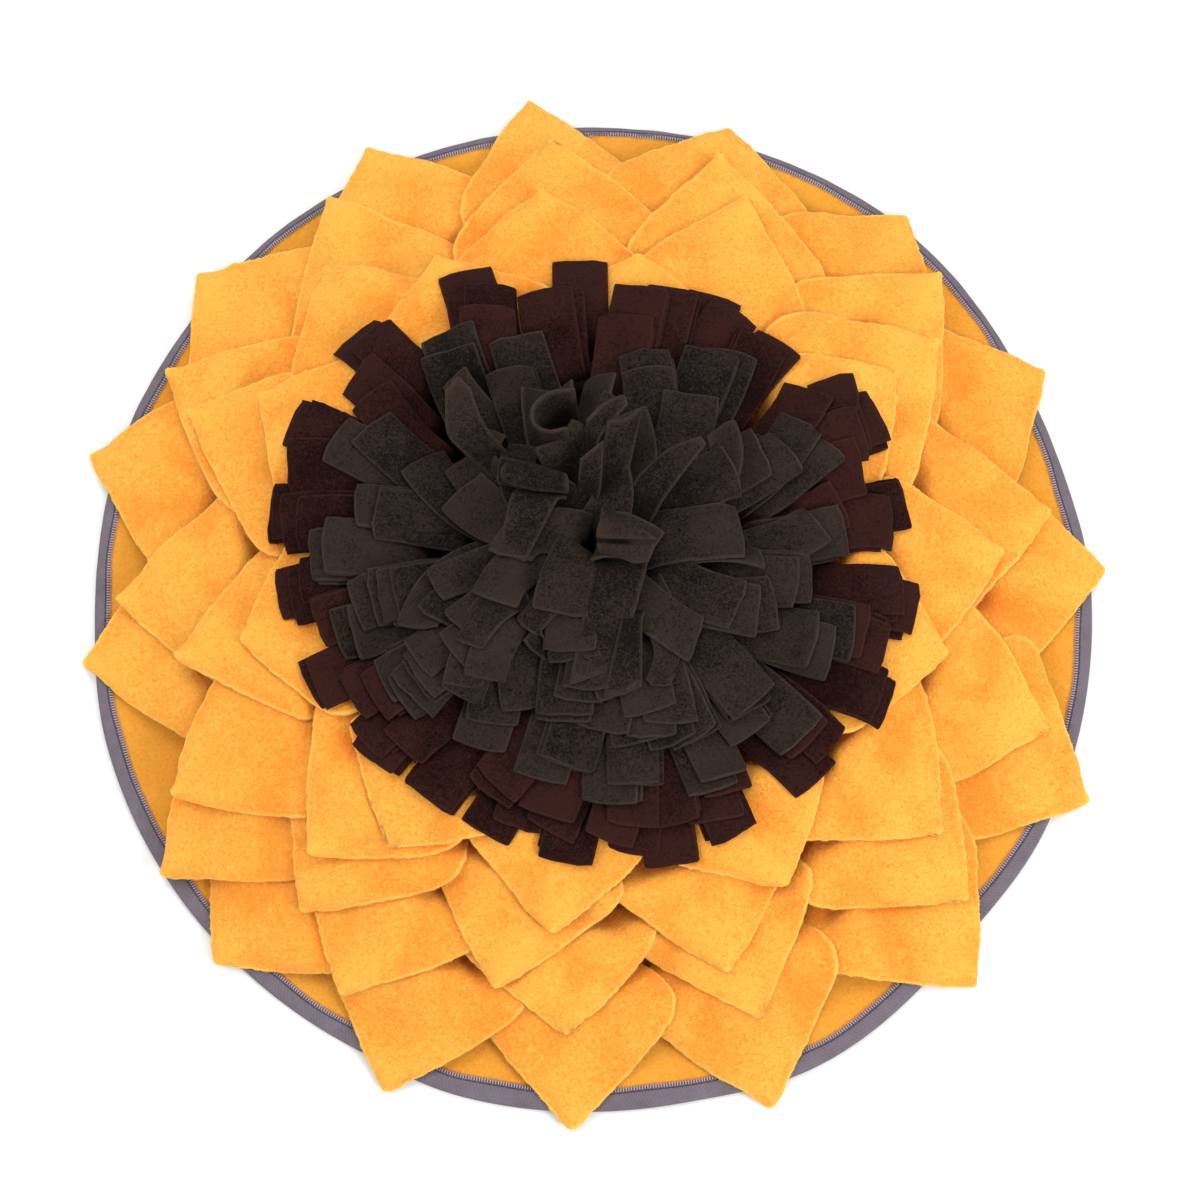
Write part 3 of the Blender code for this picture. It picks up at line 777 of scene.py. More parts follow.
# bearing and distance, degrees and mm: tip, left shoulder, right shoulder
petals = {
    "a": (
        (116, 266, 126, 233, 105, 226), (97, 269, 105, 230, 85, 224), (74, 261, 85, 229, 61, 229),
        (51, 258, 61, 227, 38, 226), (27, 259, 38, 223, 14, 217), (3, 257, 12, 226, -9, 219),
        (-23, 264, -9, 223, -33, 223), (-46, 267, -35, 227, -58, 220), (-71, 264, -59, 223, -81, 219),
        (-92, 260, -81, 217, -102, 222), (-112, 261, -101, 216, -122, 227), (-135, 256, -124, 225, -144, 226),
        (-172, 253, -160, 212, -183, 222), (-196, 263, -184, 219, -207, 230), (-220, 264, -208, 230, -232, 230),
    ),
    "b": (
        (-237, 248, -219, 195, -248, 194), (95, 240, 109, 198, 82, 199), (74, 239, 82, 188, 56, 204),
        (43, 243, 54, 196, 28, 197), (10, 232, 25, 192, -2, 190), (-17, 233, -5, 193, -29, 199),
        (-40, 236, -29, 199, -54, 193), (-69, 223, -55, 182, -82, 180), (-93, 216, -82, 182, -107, 190),
        (-121, 230, -108, 187, -132, 200), (-146, 250, -135, 202, -159, 208), (-179, 234, -167, 193, -193, 192),
        (-208, 243, -195, 194, -220, 199),
    ),
    "c": (
        (97, 208, 111, 181, 82, 169), (69, 218, 80, 174, 51, 173), (36, 215, 51, 177, 20, 171),
        (5, 203, 16, 166, -9, 174), (-36, 207, -20, 173, -51, 161), (-71, 198, -58, 169, -86, 153),
        (-103, 200, -87, 160, -117, 160), (-131, 210, -118, 170, -147, 170), (-153, 226, -142, 186, -165, 189),
        (-170, 205, -155, 158, -186, 161), (-204, 220, -188, 168, -217, 180), (-231, 213, -217, 185, -242, 177),
    ),
    "d": (
        (115, 183, 132, 160, 100, 153), (82, 168, 97, 145, 65, 148), (35, 185, 50, 148, 18, 148),
        (-12, 175, 3, 146, -29, 148), (-58, 174, -42, 148, -73, 144), (-96, 171, -81, 139, -115, 137),
        (-135, 188, -121, 156, -152, 149), (-126, 161, -112, 135, -145, 137), (-170, 171, -154, 145, -187, 148),
        (-210, 189, -194, 155, -224, 162),
    ),
}


def petalSide(seamEnd, shoulder, tip, axis, outwards, chance):
    # one side of a petal: out of the pinch, round the shoulder, then nearly straight to the tip
    cut = petalCut
    end = tip - unit(tip - shoulder) * cut["tipCut"]
    bowed = (shoulder + end) / 2 + unit(outwards + axis * cut["bowLean"]) * cut["sideBow"]
    leaving = unit(bowed - shoulder)
    span = np.linalg.norm(shoulder - seamEnd)
    first = seamEnd + unit(outwards + axis * cut["bulgeLean"]) * span * cut["full"]
    second = shoulder - leaving * span * cut["round"]
    turning = bezier((seamEnd, first, second, shoulder), np.linspace(0, 1, cut["roundRows"], endpoint=False))
    last = bezier((shoulder, bowed, end), np.linspace(0, 1, cut["straightRows"]))
    side = np.concatenate((turning, last))
    run = runOf(side)
    sway = sum(
        np.sin(run / chance.uniform(*cut["wanderLengths"]) + chance.uniform(*anyPhase)) * cut["wander"] / 2
        for _ in range(2)
    )
    uneven = sway + chance.normal(0, cut["jitter"], len(side))
    nearPinch, nearTip = cut["steady"]
    uneven *= np.clip(run / nearPinch, 0, 1) * np.clip((run[-1] - run) / nearTip, 0, 1)
    direction = unit(np.gradient(side, axis=0))
    sideways = np.column_stack((-direction[:, 1], direction[:, 0]))
    return side + sideways * uneven[:, None]


def petalGrid(ring, row, chance):
    # place and wished height of every point of a petal
    cut = petalCut
    tipBearing, tipReach, leftBearing, leftReach, rightBearing, rightReach = row
    tip = around(tipBearing, tipReach / 1000)
    left = around(leftBearing, leftReach / 1000)
    right = around(rightBearing, rightReach / 1000)
    bearing = (leftBearing + rightBearing) / 2
    seam = around(bearing, ring["seam"] / 1000)
    axis = unit(tip - seam)
    side = leftOf(axis)
    leftSide = petalSide(seam + side * cut["seamHalf"], left, tip, axis, side, chance)
    rightSide = petalSide(seam - side * cut["seamHalf"], right, tip, axis, -side, chance)
    even = np.linspace(0, 1, cut["columns"])
    evenShare, closerShare = cut["spacing"]
    share = even * evenShare + (0.5 - 0.5 * np.cos(np.pi * even)) * closerShare
    place = leftSide[:, None] * (1 - share)[None, :, None] + rightSide[:, None] * share[None, :, None]
    rows = len(leftSide)
    across = share * 2 - 1
    along = np.arange(rows) / (rows - 1)
    first, over, part = cut["tipRound"]
    bow = np.clip((along - first) / over, 0, 1) ** 2 * cut["tipCut"] * part
    place = place + (bow[:, None] * (1 - across**2)[None, :])[..., None] * axis

    out = (place - seam) @ axis
    crest = (ring["crest"] - ring["seam"]) / 1000
    shoulder = ((left + right) / 2 - seam) @ axis
    end = (tip - seam) @ axis
    shoulder = max(shoulder, crest + cut["shoulderPast"])
    foot = mat["baseThickness"] + cut["footRise"]
    high = [h / 1000 for h in ring["heights"]]
    marks = np.linspace(-0.01, end, 160)
    partOut, partUp = cut["rising"]
    turns = (0, crest * partOut, crest, shoulder, (shoulder + end) / 2, end)
    levels = smoothed(np.interp(marks, turns, (foot, high[0] * partUp, *high)), cut["easing"])
    wished = np.interp(out, marks, levels)
    spread = np.clip(out / crest, 0, 1)
    wished = wished - ring["fall"] / 1000 * spread * (across**2)[None, :]

    for _ in range(4):
        direction = around(chance.uniform(0, 360), 1.0)
        length = chance.uniform(*cut["waveLengths"])
        swell = np.sin(place @ direction / length * 2 * math.pi + chance.uniform(*anyPhase))
        wished = wished + swell * cut["wave"] / 2 * spread
    aside = (place - seam) @ side
    reach = np.hypot(out, aside)
    angle = np.arctan2(aside, np.maximum(out, 0.001))
    narrow, gained = cut["pleatWidth"]
    for start in cut["pleatStarts"]:
        fold = start + chance.uniform(*cut["pleatStray"])
        soft = narrow + gained * reach
        length = chance.uniform(*cut["pleatLengths"])
        valley = np.exp(-(((angle - fold) * reach / soft) ** 2) - (reach / length) ** 2)
        deep = valley * cut["pleat"] * chance.uniform(*cut["pleatDepths"])
        wished = wished - deep * np.clip(reach / cut["pleatGrowth"], 0, 1)
    lastPart = np.clip((out - shoulder) / (end - shoulder), 0, 1)
    wished = wished + lastPart**2 * chance.uniform(*cut["curls"]) * cut["curl"]
    return place, wished


def petalLift(place, wished, gap):
    # how far each point is lifted off what lies below
    return bridged(heapUnder(place) + gap - wished, *petalCut["bridging"])


def petalTintAndPaintedShade(height, chance):
    # how pale each point of a petal is painted: painted shade in its hollows and near the pinch and painted
    # light on its ridges and towards the tip, by how far it stands above its surroundings and how far out it
    # is, and a random tint for each petal
    cut = petalCut
    soft = height
    for _ in range(cut["toneRounds"]):
        soft = meanAround(soft)
    # painted shade in the hollows, painted light on the ridges
    hollowShade = np.clip((height - soft) / cut["paintedShadeDepth"], -1, 1) * cut["paintedHollowShade"]
    # painted shade near the pinch, painted light towards the tip
    out = (np.linspace(0, 1, len(height)) - cut["toneMiddle"])[:, None] * cut["paintedPinchShadeTipLight"]
    return hollowShade + out + chance.uniform(-cut["tint"], cut["tint"])


def makePetals():
    cut = petalCut
    sheets = []
    for letter, ring in petalRings.items():
        for number, row in enumerate(petals[letter], start=1):
            node = f"petal_{letter}_{number:02d}"
            chance = np.random.default_rng(100 * ord(letter) + number)
            place, wished = petalGrid(ring, row, chance)
            lift = petalLift(place, wished, cut["gap"] + cut["thickness"] * cut["above"])
            sheet = closedSheet(np.dstack((place, wished + lift)), cut["thickness"], cut["rimReach"])
            layOnHeap(sheet["upper"], 4)
            piece = joinSheets("cloth_" + node, [sheet], [petalTintAndPaintedShade(wished, chance)], petalFleece)
            finishPiece(piece, "petal_fleece", node)
            sheets.append(sheet)
    return sheets


petalSheets = makePetals()
print("petals made")

fuzz = {
    "spacing": 0.0009,
    "stray": 0.4,  # how far a tuft strays along the edge, as a share of the spacing
    "length": 0.0011,
    "thickness": 0.00028,  # a tuft of many fibres, as a single one is too fine to show
    "splay": 0.8,
    "root": 0.0003,  # how deep in the cloth a tuft starts
}


def fuzzTree():
    # tufts that stand out of a cut edge, each splayed its own way
    tree, given = newTree("fuzz", {"Length": 0.001, "Thickness": 0.0002, "Splay": 0.8}, "Fibre")
    outward = addNode(tree, "GeometryNodeInputNamedAttribute", {"Name": "outward"}, data_type="FLOAT_VECTOR")
    stray = addNode(tree, "FunctionNodeRandomValue", {
        0: (-1.0, -1.0, -1.0), 1: (1.0, 1.0, 1.0), "Seed": 3,
    }, data_type="FLOAT_VECTOR")
    scaled = addNode(tree, "ShaderNodeVectorMath", {
        0: stray.outputs[0], "Scale": given["Splay"],
    }, operation="SCALE")
    way = addNode(tree, "ShaderNodeVectorMath", {
        0: outward.outputs[0], 1: scaled.outputs[0],
    }, operation="ADD")
    facing = addNode(tree, "FunctionNodeAlignRotationToVector", {"Vector": way.outputs[0]}, axis="Z")
    tuft = addNode(tree, "GeometryNodeMeshCone", {
        "Vertices": 3, "Radius Top": 0.0, "Radius Bottom": given["Thickness"], "Depth": given["Length"],
    })
    placed = addNode(tree, "GeometryNodeInstanceOnPoints", {
        "Points": given["Geometry"], "Instance": tuft.outputs["Mesh"], "Rotation": facing.outputs[0],
    })
    endTree(tree, placed.outputs["Instances"], given["Fibre"])
    return tree


def makeFuzz(name, sheets, material, slot):
    # tufts along the cut edges of these sheets, all but the seam
    chance = np.random.default_rng(11)
    places, ways = [], []
    for sheet in sheets:
        start = sheet["middle"].shape[1] - 1
        line, out = sheet["edgeLine"][start:], sheet["edgeOut"][start:]
        run = runOf(line)
        spots = np.arange(0, run[-1], fuzz["spacing"])
        spots = spots + chance.uniform(-fuzz["stray"], fuzz["stray"], len(spots)) * fuzz["spacing"]
        way = valuesAt(out, run, spots)
        ways.append(way)
        places.append(valuesAt(line, run, spots) - way * fuzz["root"])
    guide = bpy.data.meshes.new(name + "_guide")
    guide.from_pydata(np.concatenate(places), [], [])
    layer = guide.attributes.new("outward", "FLOAT_VECTOR", "POINT")
    layer.data.foreach_set("vector", np.concatenate(ways).ravel().astype(np.float32))
    values = {label: fuzz[label.lower()] for label in ("Length", "Thickness", "Splay")}
    piece = grown(linked(name + "_guide", guide), fuzzTree(), {**values, "Fibre": material}, name)
    # the tufts take the whole pale edge colour, partly painted highlight
    giveValues(piece.data, "rim", np.ones(len(piece.data.vertices)))
    finishPiece(piece, slot)


makeFuzz("fuzz_petals", petalSheets, petalFleece, "petal_fleece")
print("cut edges made")

stripCut = {
    "width": 0.0245,
    "narrowest": 0.0225,
    "widest": 0.0265,
    "thickness": 0.0018,
    "across": (-1, -0.94, -0.5, 0, 0.5, 0.94, 1),  # columns, closer at the cut sides
    "rows": 30,
    "lastRow": 0.0008,  # the row before the cut end lies this close to it
    "gap": 0.0003,
    "droop": 0.0010,  # how far the sides hang below the middle line
    "centre": (0.0, 0.009),  # the fringe is sewn a little off the middle of the mat
    "shown": 0.044,  # from crest to tip, seen from above; the rest stands hidden in the pile
    "crest": 0.013,  # from foot to crest
    "innerReach": 0.040,  # strips that end this near rise at once, and those past outerReach as the rest do
    "outerReach": 0.075,
    "innerCrest": 0.4,  # what is left of the way from foot to crest there
    "tuck": 0.007,  # the crest lies this far below the dome that the tips make
    "pairedFrom": 0.100,  # from this reach on, a second strip may lie under each
    "paired": 0.5,  # share of those that have one
    "tint": 0.40,  # how far strips differ in tone
    "paintedRootShade": -0.70,  # painted shade makes them darker down in the pile, and painted light makes them paler at their ends
    "paintedEndLight": 0.25,
    "bridging": (60, 0.96),  # rounds in which a lifted spot takes its neighbours along, and how far
    "nearestFoot": 0.004,
    "bend": 0.55,  # seen from above it turns into its own direction this share of the way before its tip
    "crestAtMost": 0.45,  # share of its length
    "leastFall": 0.002,  # from crest to tip
    "footHeight": 0.0035,
    "easing": 12,  # rounds of softening along its length
    "firstHeight": 0.05,  # a first guess at how high its end lies
    "rolling": (0.35, 0.55),  # it rolls from this share of its length, over this share
    "rollStray": 0.05,  # radians
    "sway": 0.0007,  # how far it waves up and down, and how often in radians
    "swayTurns": (4, 9),
    "blunt": 0.0009,  # how far the corners of its cut end are rounded
    "ragged": 0.00025,  # how uneven that cut is, and how far it is askew
    "askew": 0.0006,
    "rimReach": 0.0007,  # how far in the cut edges are painted pale, partly the cut fibres' colour and partly painted highlight
    "curledRimReach": 0.0010,
    "curledRows": 18,
    "curledColumns": 13,
}

# Each row is one strip, by what the photograph shows of its cut end, in pixels: x and y of one corner,
# x and y of the other; then which corner is its true one where a neighbour hides the other (-1 the first,
# 1 the second, 0 both show), how many degrees it is rolled about its length at the end, and how many mm
# its sides turn up.
blackStrips = {
    "top": (
        (438, 280, 491, 266), (445, 295, 501, 288), (458, 307, 516, 306), (491, 287, 515, 287, 1),
        (517, 297, 572, 290), (545, 291, 583, 289, 1), (553, 262, 607, 262), (616, 284, 668, 294),
        (600, 313, 653, 319), (649, 286, 686, 293, -1), (688, 289, 742, 305), (738, 313, 756, 325, 1),
        (742, 332, 786, 350, -1), (761, 328, 800, 359), (786, 381, 805, 389, -1), (808, 385, 851, 373),
    ),
    "right": (
        (867, 393, 891, 440), (856, 396, 874, 451), (851, 401, 873, 465), (853, 437, 871, 494),
        (832, 484, 851, 521), (899, 481, 912, 527), (891, 497, 893, 549), (900, 565, 904, 615),
        (919, 584, 913, 636), (871, 605, 861, 659), (891, 627, 878, 675), (890, 666, 872, 726),
        (896, 684, 880, 728), (846, 730, 816, 764), (828, 722, 792, 761), (836, 762, 798, 801),
    ),
    "bottom": (
        (758, 826, 713, 844), (744, 814, 690, 826), (752, 785, 706, 800), (699, 861, 647, 869),
        (695, 820, 655, 827), (656, 858, 608, 849), (658, 826, 608, 825), (631, 849, 585, 833),
        (590, 869, 539, 855), (573, 842, 526, 820), (570, 827, 519, 803), (538, 834, 493, 820),
        (506, 847, 463, 819), (509, 809, 468, 779), (515, 803, 475, 768), (449, 813, 409, 783),
        (452, 816, 414, 790),
    ),
    "left": (
        (420, 765, 384, 730), (390, 775, 352, 744), (379, 759, 349, 725), (366, 720, 338, 677),
        (390, 721, 358, 677), (327, 710, 304, 660), (319, 711, 299, 663), (325, 647, 311, 604),
        (301, 601, 299, 560), (282, 620, 274, 570), (295, 625, 287, 568), (271, 538, 274, 486),
        (283, 555, 281, 489), (298, 548, 297, 498), (289, 493, 288, 444), (286, 450, 312, 398),
        (284, 447, 304, 402), (334, 355, 372, 318), (350, 352, 389, 320, 1), (340, 390, 374, 357),
        (351, 406, 390, 381),
    ),
}
charcoalStrips = {
    "top": (
        (419, 340, 475, 327), (420, 359, 475, 344), (487, 345, 543, 328), (619, 354, 660, 346, -1),
        (622, 371, 653, 366, -1), (703, 343, 759, 359), (685, 343, 741, 361), (659, 394, 722, 397, 0, 0, 4),
        (608, 421, 642, 408, 0, 40), (706, 435, 730, 424, 0, 55), (446, 381, 459, 374, 0, 60),
        (490, 373, 527, 364, 0, 0, -4), (533, 392, 570, 392, 0, 10, 11), (590, 373, 609, 378, 0, 55),
        (612, 399, 628, 405, 0, -50), (484, 425, 501, 438, 0, 50), (515, 441, 534, 452, 0, 45),
        (586, 457, 602, 441, 0, 55),
    ),
    "right": (
        (722, 442, 745, 493), (750, 426, 775, 474), (773, 428, 803, 470), (783, 412, 821, 431),
        (821, 434, 841, 458, 0, 45), (806, 506, 829, 536, 0, 30), (839, 507, 851, 550), (738, 502, 744, 561),
        (765, 548, 760, 567, 0, 60), (798, 560, 797, 605), (811, 562, 811, 598), (820, 609, 811, 666),
        (839, 627, 826, 676), (859, 605, 849, 661), (770, 577, 780, 627), (744, 582, 731, 629, 0, 0, 3),
        (760, 586, 756, 635, 0, 0, 3), (706, 622, 687, 659), (657, 541, 640, 566, 0, 25, 5),
    ),
    "bottom": (
        (777, 684, 733, 721), (771, 697, 730, 725), (770, 720, 733, 748), (822, 718, 783, 757),
        (745, 768, 704, 785), (738, 783, 690, 799), (717, 728, 675, 749), (695, 737, 652, 750),
        (660, 740, 614, 746), (672, 734, 632, 737), (627, 737, 603, 731, -1), (697, 718, 663, 724, -1),
        (676, 707, 625, 716), (658, 784, 608, 783), (636, 804, 582, 801), (592, 774, 541, 756),
        (564, 787, 514, 770), (587, 616, 533, 608), (595, 651, 544, 649), (600, 656, 550, 663),
        (557, 668, 519, 641, 0, 60), (549, 703, 505, 714), (517, 726, 466, 720), (504, 754, 453, 740),
        (600, 706, 555, 695), (592, 717, 536, 713), (590, 723, 536, 720), (601, 693, 569, 686, 0, 35),
        (640, 686, 603, 698, 0, 30), (668, 690, 650, 680, 0, 60),
    ),
    "left": (
        (322, 459, 347, 416), (352, 443, 388, 410), (355, 528, 356, 483), (373, 541, 378, 484),
        (322, 572, 326, 516), (310, 580, 311, 531), (341, 659, 331, 611), (360, 659, 346, 608),
        (362, 630, 346, 582), (377, 631, 366, 566), (384, 622, 378, 586, -1), (399, 622, 390, 569),
        (440, 600, 430, 576, 0, 50), (463, 635, 449, 616, 0, 55), (443, 627, 425, 611, 0, 40),
        (432, 633, 406, 627, 0, 45), (392, 705, 374, 660), (412, 716, 388, 680), (431, 715, 388, 675),
        (430, 703, 403, 661), (432, 697, 402, 653), (431, 678, 401, 640), (466, 671, 440, 634),
        (502, 680, 468, 672, 0, 40), (475, 700, 449, 690, 0, 40), (475, 687, 452, 682, 0, 45),
        (451, 468, 480, 451), (441, 507, 480, 474), (403, 470, 440, 450), (525, 561, 498, 552, 0, 35),
        (497, 481, 499, 466, 0, 65), (478, 650, 464, 642, 0, 60), (510, 606, 480, 596, 0, 30),
        (536, 637, 520, 622, 0, 60),
    ),
}
stripGroups = {  # each comb's node, and the reach from which its strips count
    "black": {"fringe_black_low": 0.146, "fringe_black_high": 0.0},
    "charcoal": {
        "fringe_charcoal_1": 0.125, "fringe_charcoal_2": 0.105, "fringe_charcoal_3": 0.086,
        "fringe_charcoal_4": 0.066, "fringe_charcoal_5": 0.0,
    },
}


dome = {"top": 0.0885, "slope": 0.350, "flat": 0.034}  # the heap of strips: highest, then falling outwards


def tipHeight(reach):
    return dome["top"] - dome["slope"] * math.hypot(reach, dome["flat"])


def stripLine(tip, outwards, low):
    # the middle line of a strip from its foot to its tip, and the row of its crest
    cut = stripCut
    centre = np.array(cut["centre"])
    reach = np.linalg.norm(tip - centre)
    inner = np.clip((cut["outerReach"] - reach) / (cut["outerReach"] - cut["innerReach"]), 0, 1)
    foot = max(reach - cut["shown"] - cut["crest"], cut["nearestFoot"] * (1 - inner))
    bend = tip - outwards * (reach - foot) * cut["bend"]
    root = centre + unit(bend - centre) * foot
    plan = bezier((root, bend, tip), np.linspace(0, 1, 160))
    run = runOf(plan)
    crest = min(cut["crest"] * (1 - inner * (1 - cut["innerCrest"])), run[-1] * cut["crestAtMost"])
    top = max(tipHeight(foot + crest) - cut["tuck"], low + cut["leastFall"])
    # it rises steeply, is highest just past its crest, and falls slowly at first and faster to the tip
    marks = (0.0, crest * 0.35, crest * 0.75, crest * 1.2, (crest + run[-1]) / 2, run[-1])
    levels = (cut["footHeight"], top * 0.62, top * 0.95, top, top - 0.32 * (top - low), low)
    high = smoothed(np.interp(run, marks, levels), cut["easing"])
    line = np.column_stack((plan, high))
    length = runOf(line)[-1]
    line = pointsAt(line, np.append(np.linspace(0, length - cut["lastRow"], cut["rows"] - 1), length))
    flat = runOf(line[:, :2])
    return line, int(np.searchsorted(flat, crest * 0.9))


def stripMiddle(tip, outwards, low, width, roll, cup, chance):
    # the points on a strip's middle sheet, with its roll, its turned-up sides and its uneven cut end
    cut = stripCut
    line, crestRow = stripLine(tip, outwards, low)
    rows = cut["rows"]
    tangent = unit(np.gradient(line, axis=0))
    flat = unit(np.gradient(line[:, :2], axis=0))
    right = np.column_stack((flat[:, 1], -flat[:, 0], np.zeros(rows)))
    up = unit(np.cross(right, tangent))
    ends = np.linspace(0, 1, rows)
    first, over = cut["rolling"]
    ramp = np.clip((ends - first) / over, 0, 1)
    ramp = ramp * ramp * (3 - 2 * ramp)
    angle = np.radians(roll) * ramp + chance.normal(0, cut["rollStray"]) * ends
    across = np.array(cut["across"])
    sideways = right * np.cos(angle)[:, None] + up * np.sin(angle)[:, None]
    above = up * np.cos(angle)[:, None] - right * np.sin(angle)[:, None]
    sag = (cup / 1000 * ramp - cut["droop"])[:, None] * (across**2)[None, :]
    aside = sideways[:, None] * (across * width / 2)[None, :, None]
    middle = line[:, None] + aside + above[:, None] * sag[..., None]
    sway = np.sin(ends * chance.uniform(*cut["swayTurns"]) + chance.uniform(*anyPhase)) * cut["sway"]
    middle[..., 2] += sway[:, None]
    ragged = chance.normal(0, cut["ragged"], len(across))
    blunt = -cut["blunt"] * np.abs(across) ** 5 + ragged + across * chance.normal(0, cut["askew"])
    middle[-2:] += tangent[-1] * blunt[:, None]
    return middle, crestRow


def stripLift(middle, crestRow, gap):
    # how far each point of a strip is lifted off what lies below; the part down in the pile stays there
    short = heapUnder(middle) + gap - middle[..., 2]
    short[:crestRow] = -1.0
    rising = np.clip(np.arange(len(middle)) / crestRow, 0, 1)
    return bridged(short, *stripCut["bridging"]) * rising[:, None]


def layStrip(cornerA, cornerB, pin, roll, cup, shift, chance):
    # a strip whose end lies under those two pixels; its height is found first, then its place at that height
    cut = stripCut
    centre = np.array(cut["centre"])
    height = cut["firstHeight"]
    for _ in range(3):
        a, b = underPixel(*cornerA, height), underPixel(*cornerB, height)
        height = tipHeight(np.linalg.norm((a + b) / 2 - centre))
    for _ in range(2):
        a, b = underPixel(*cornerA, height), underPixel(*cornerB, height)
        edge = unit(b - a)
        seen = np.linalg.norm(b - a)
        width = min(max(seen, cut["narrowest"]), cut["widest"]) if pin == 0 and roll == 0 else cut["width"]
        tip = (a + b) / 2 if pin == 0 else a + edge * width / 2 if pin < 0 else b - edge * width / 2
        outwards = leftOf(edge)
        if outwards @ (tip - centre) < 0:
            outwards = -outwards
        tip = tip + outwards * shift[0] + leftOf(outwards) * shift[1]
        low = tipHeight(np.linalg.norm(tip - centre))
        middle, crestRow = stripMiddle(tip, outwards, low, width, roll, cup, chance)
        middle[..., 2] += stripLift(middle, crestRow, cut["gap"] + cut["thickness"] / 2)
        height = middle[-1, len(cut["across"]) // 2, 2]
    sheet = closedSheet(middle, cut["thickness"], cut["rimReach"])
    layOnHeap(sheet["upper"][crestRow:], 5)
    return sheet


# Strips in the middle that stand up, curl or fold over. Each has lines across it, from its foot to its
# end: the line's height in mm, then the pixels of the photograph that it runs through.
curledStrips = {
    "curl": (
        (58, (580, 440), (560, 440), (550, 452), (556, 464), (574, 462)),
        (92, (574, 389), (549, 391), (531, 406), (531, 424), (546, 433), (566, 428)),
    ),
    "pointed": (
        (60, (520, 500), (528, 478)),
        (84, (446, 436), (482, 424)),
        (90, (446, 391), (458, 376), (470, 389)),
    ),
    "foldedOver": (
        (64, (520, 470), (568, 484)),
        (94, (504, 464), (530, 462), (566, 474)),
        (95, (500, 473), (528, 478), (568, 484)),
        (89, (503, 480), (530, 489), (567, 492)),
    ),
    "towardsViewer": (
        (66, (540, 486), (575, 500)),
        (88, (512, 492), (558, 496)),
        (82, (499, 553), (525, 561)),
    ),
    "darkFold": (
        (60, (572, 520), (592, 500)),
        (86, (536, 452), (584, 424)),
        (84, (536, 448), (560, 440), (572, 420)),
    ),
    "sCurl": (
        (60, (590, 500), (606, 500)),
        (88, (586, 425), (596, 440)),
        (95, (588, 420), (604, 403), (624, 394), (627, 404)),
    ),
    "narrowUpright": (
        (62, (582, 528), (592, 528)),
        (84, (579, 480), (600, 486)),
        (91, (581, 459), (603, 441)),
    ),
    "bigUpright": (
        (62, (600, 517), (618, 516)),
        (81, (601, 470), (616, 464), (629, 466)),
        (93, (608, 421), (626, 419), (642, 407)),
    ),
    "leaningRight": (
        (64, (616, 528), (645, 532)),
        (82, (636, 478), (662, 500)),
        (88, (668, 449), (684, 470)),
        (90, (700, 437), (705, 444)),
    ),
    "underLips": (
        (66, (598, 545), (640, 548)),
        (84, (592, 566), (648, 560)),
        (83, (584, 610), (636, 604)),
        (77, (570, 684), (618, 668)),
    ),
    "upperLip": (
        (72, (602, 503), (624, 512)),
        (89, (602, 517), (630, 524)),
        (92, (598, 529), (654, 537)),
        (91, (597, 537), (656, 539)),
    ),
    "lowerLip": (
        (76, (606, 558), (622, 566), (634, 568)),
        (84, (601, 553), (624, 555), (642, 560)),
        (91, (597, 543), (626, 544), (656, 541)),
        (92, (599, 547), (622, 551), (653, 549)),
        (89, (600, 552), (612, 553), (634, 563), (648, 561)),
    ),
    "rolledUpright": (
        (62, (496, 590), (512, 622)),
        (86, (494, 578), (512, 628)),
        (84, (468, 610), (470, 628), (468, 646)),
    ),
    "narrowLeaning": (
        (64, (524, 560), (540, 566)),
        (84, (510, 580), (521, 580)),
        (82, (524, 622), (544, 638)),
    ),
    "twistedLow": (
        (64, (625, 596), (650, 604)),
        (84, (622, 620), (641, 618)),
        (76, (604, 697), (624, 694), (641, 686)),
    ),
}


def softLine(points, count):
    # that many points along a smooth line that runs by those given
    return evenly(smoothed(evenly(np.array(points, dtype=float), 60), 24), count)


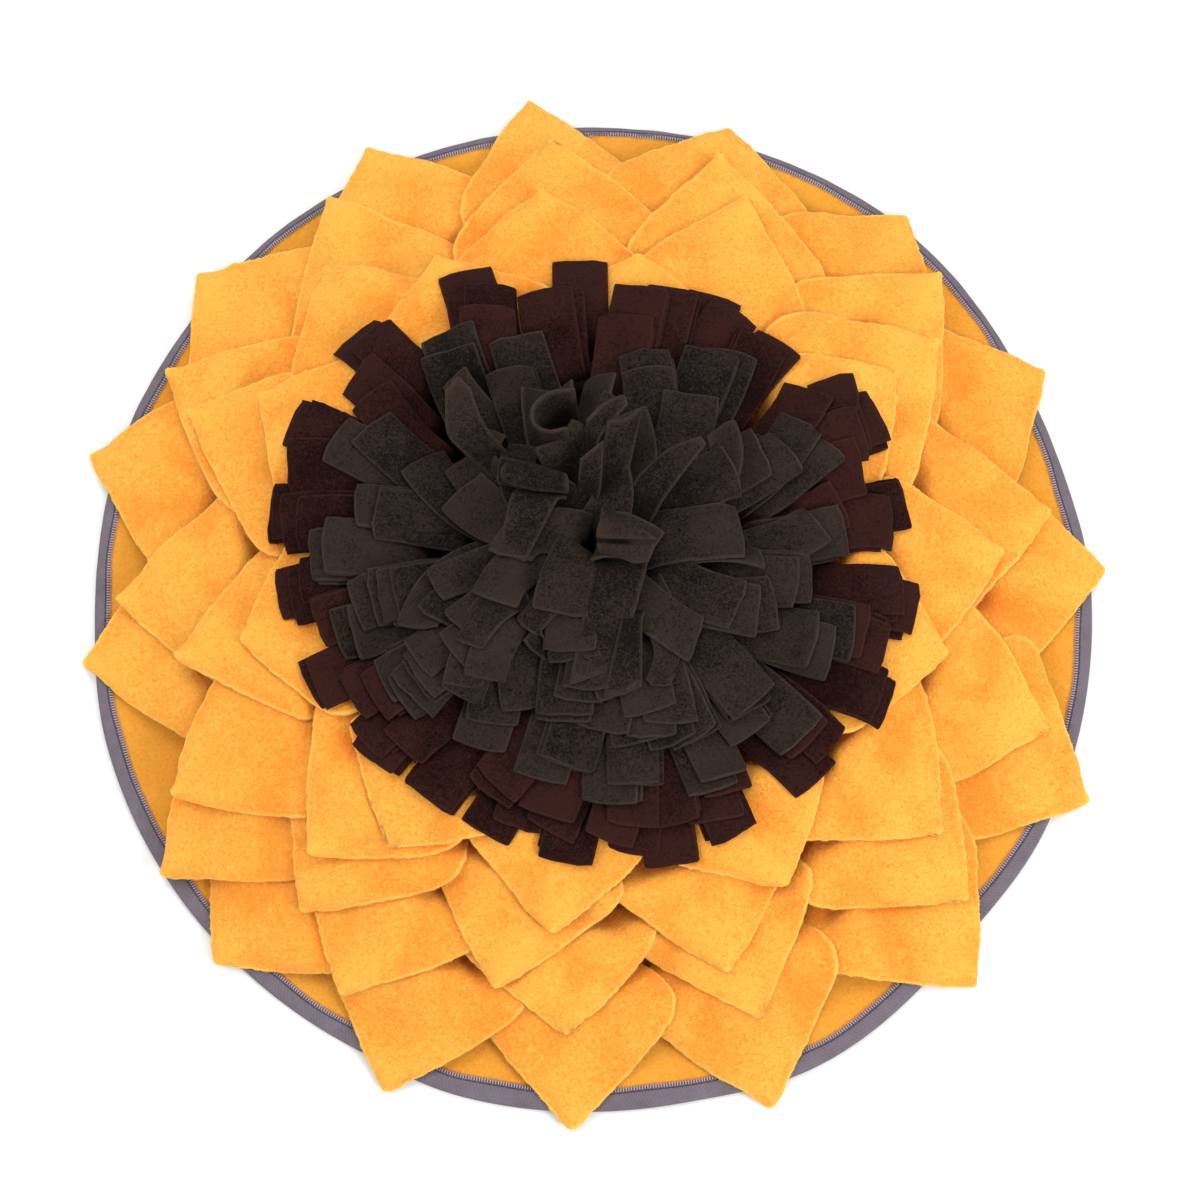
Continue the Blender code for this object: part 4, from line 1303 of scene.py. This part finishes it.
def layCurled(lines):
    cut = stripCut
    crossings = []
    for high, *pixels in lines:
        spots = [(*underPixel(x, y, high / 1000), high / 1000) for x, y in pixels]
        crossings.append(softLine(spots, cut["curledColumns"]))
    columns = [softLine(column, cut["curledRows"]) for column in np.stack(crossings, axis=1)]
    return closedSheet(np.stack(columns, axis=1), cut["thickness"], cut["curledRimReach"])


def makeStrips():
    cut = stripCut
    chance = np.random.default_rng(7)
    centre = np.array(cut["centre"])
    for kind, regions, material in (
        ("black", blackStrips, blackFleece), ("charcoal", charcoalStrips, charcoalFleece),
    ):
        rows = []
        for region in regions.values():
            for ax, ay, bx, by, *rest in region:
                pin, roll, cup = (list(rest) + [0, 0, 0])[:3]
                middle = underPixel((ax + bx) / 2, (ay + by) / 2, cut["firstHeight"])
                reach = np.linalg.norm(middle - centre)
                rows.append((reach, (ax, ay), (bx, by), pin, roll, cup))
        groups = {node: [] for node in stripGroups[kind]}
        for reach, cornerA, cornerB, pin, roll, cup in sorted(rows, key=lambda row: -row[0]):
            node = next(node for node, least in stripGroups[kind].items() if reach >= least)
            if reach > cut["pairedFrom"] and roll == 0 and chance.random() < cut["paired"]:
                shift = (-chance.uniform(-0.0012, 0.006), chance.uniform(-0.003, 0.003))
                groups[node].append(layStrip(cornerA, cornerB, pin, 0, 0, shift, chance))
            groups[node].append(layStrip(cornerA, cornerB, pin, roll, cup, (0.0, 0.0), chance))
        if kind == "charcoal":
            groups["fringe_charcoal_5"] += [layCurled(lines) for lines in curledStrips.values()]
        for node, sheets in groups.items():
            tints = chance.uniform(-cut["tint"], cut["tint"], len(sheets))
            # each strip's random tint, plus painted shade towards its root and painted light at its end
            tones = [
                tint + np.linspace(cut["paintedRootShade"], cut["paintedEndLight"], len(sheet["middle"]))[:, None]
                for tint, sheet in zip(tints, sheets)
            ]
            piece = joinSheets("strips_" + node[7:], sheets, tones, material)
            finishPiece(piece, kind + "_fleece", node)
            print(node, len(sheets), "strips")


makeStrips()
print("strips made")
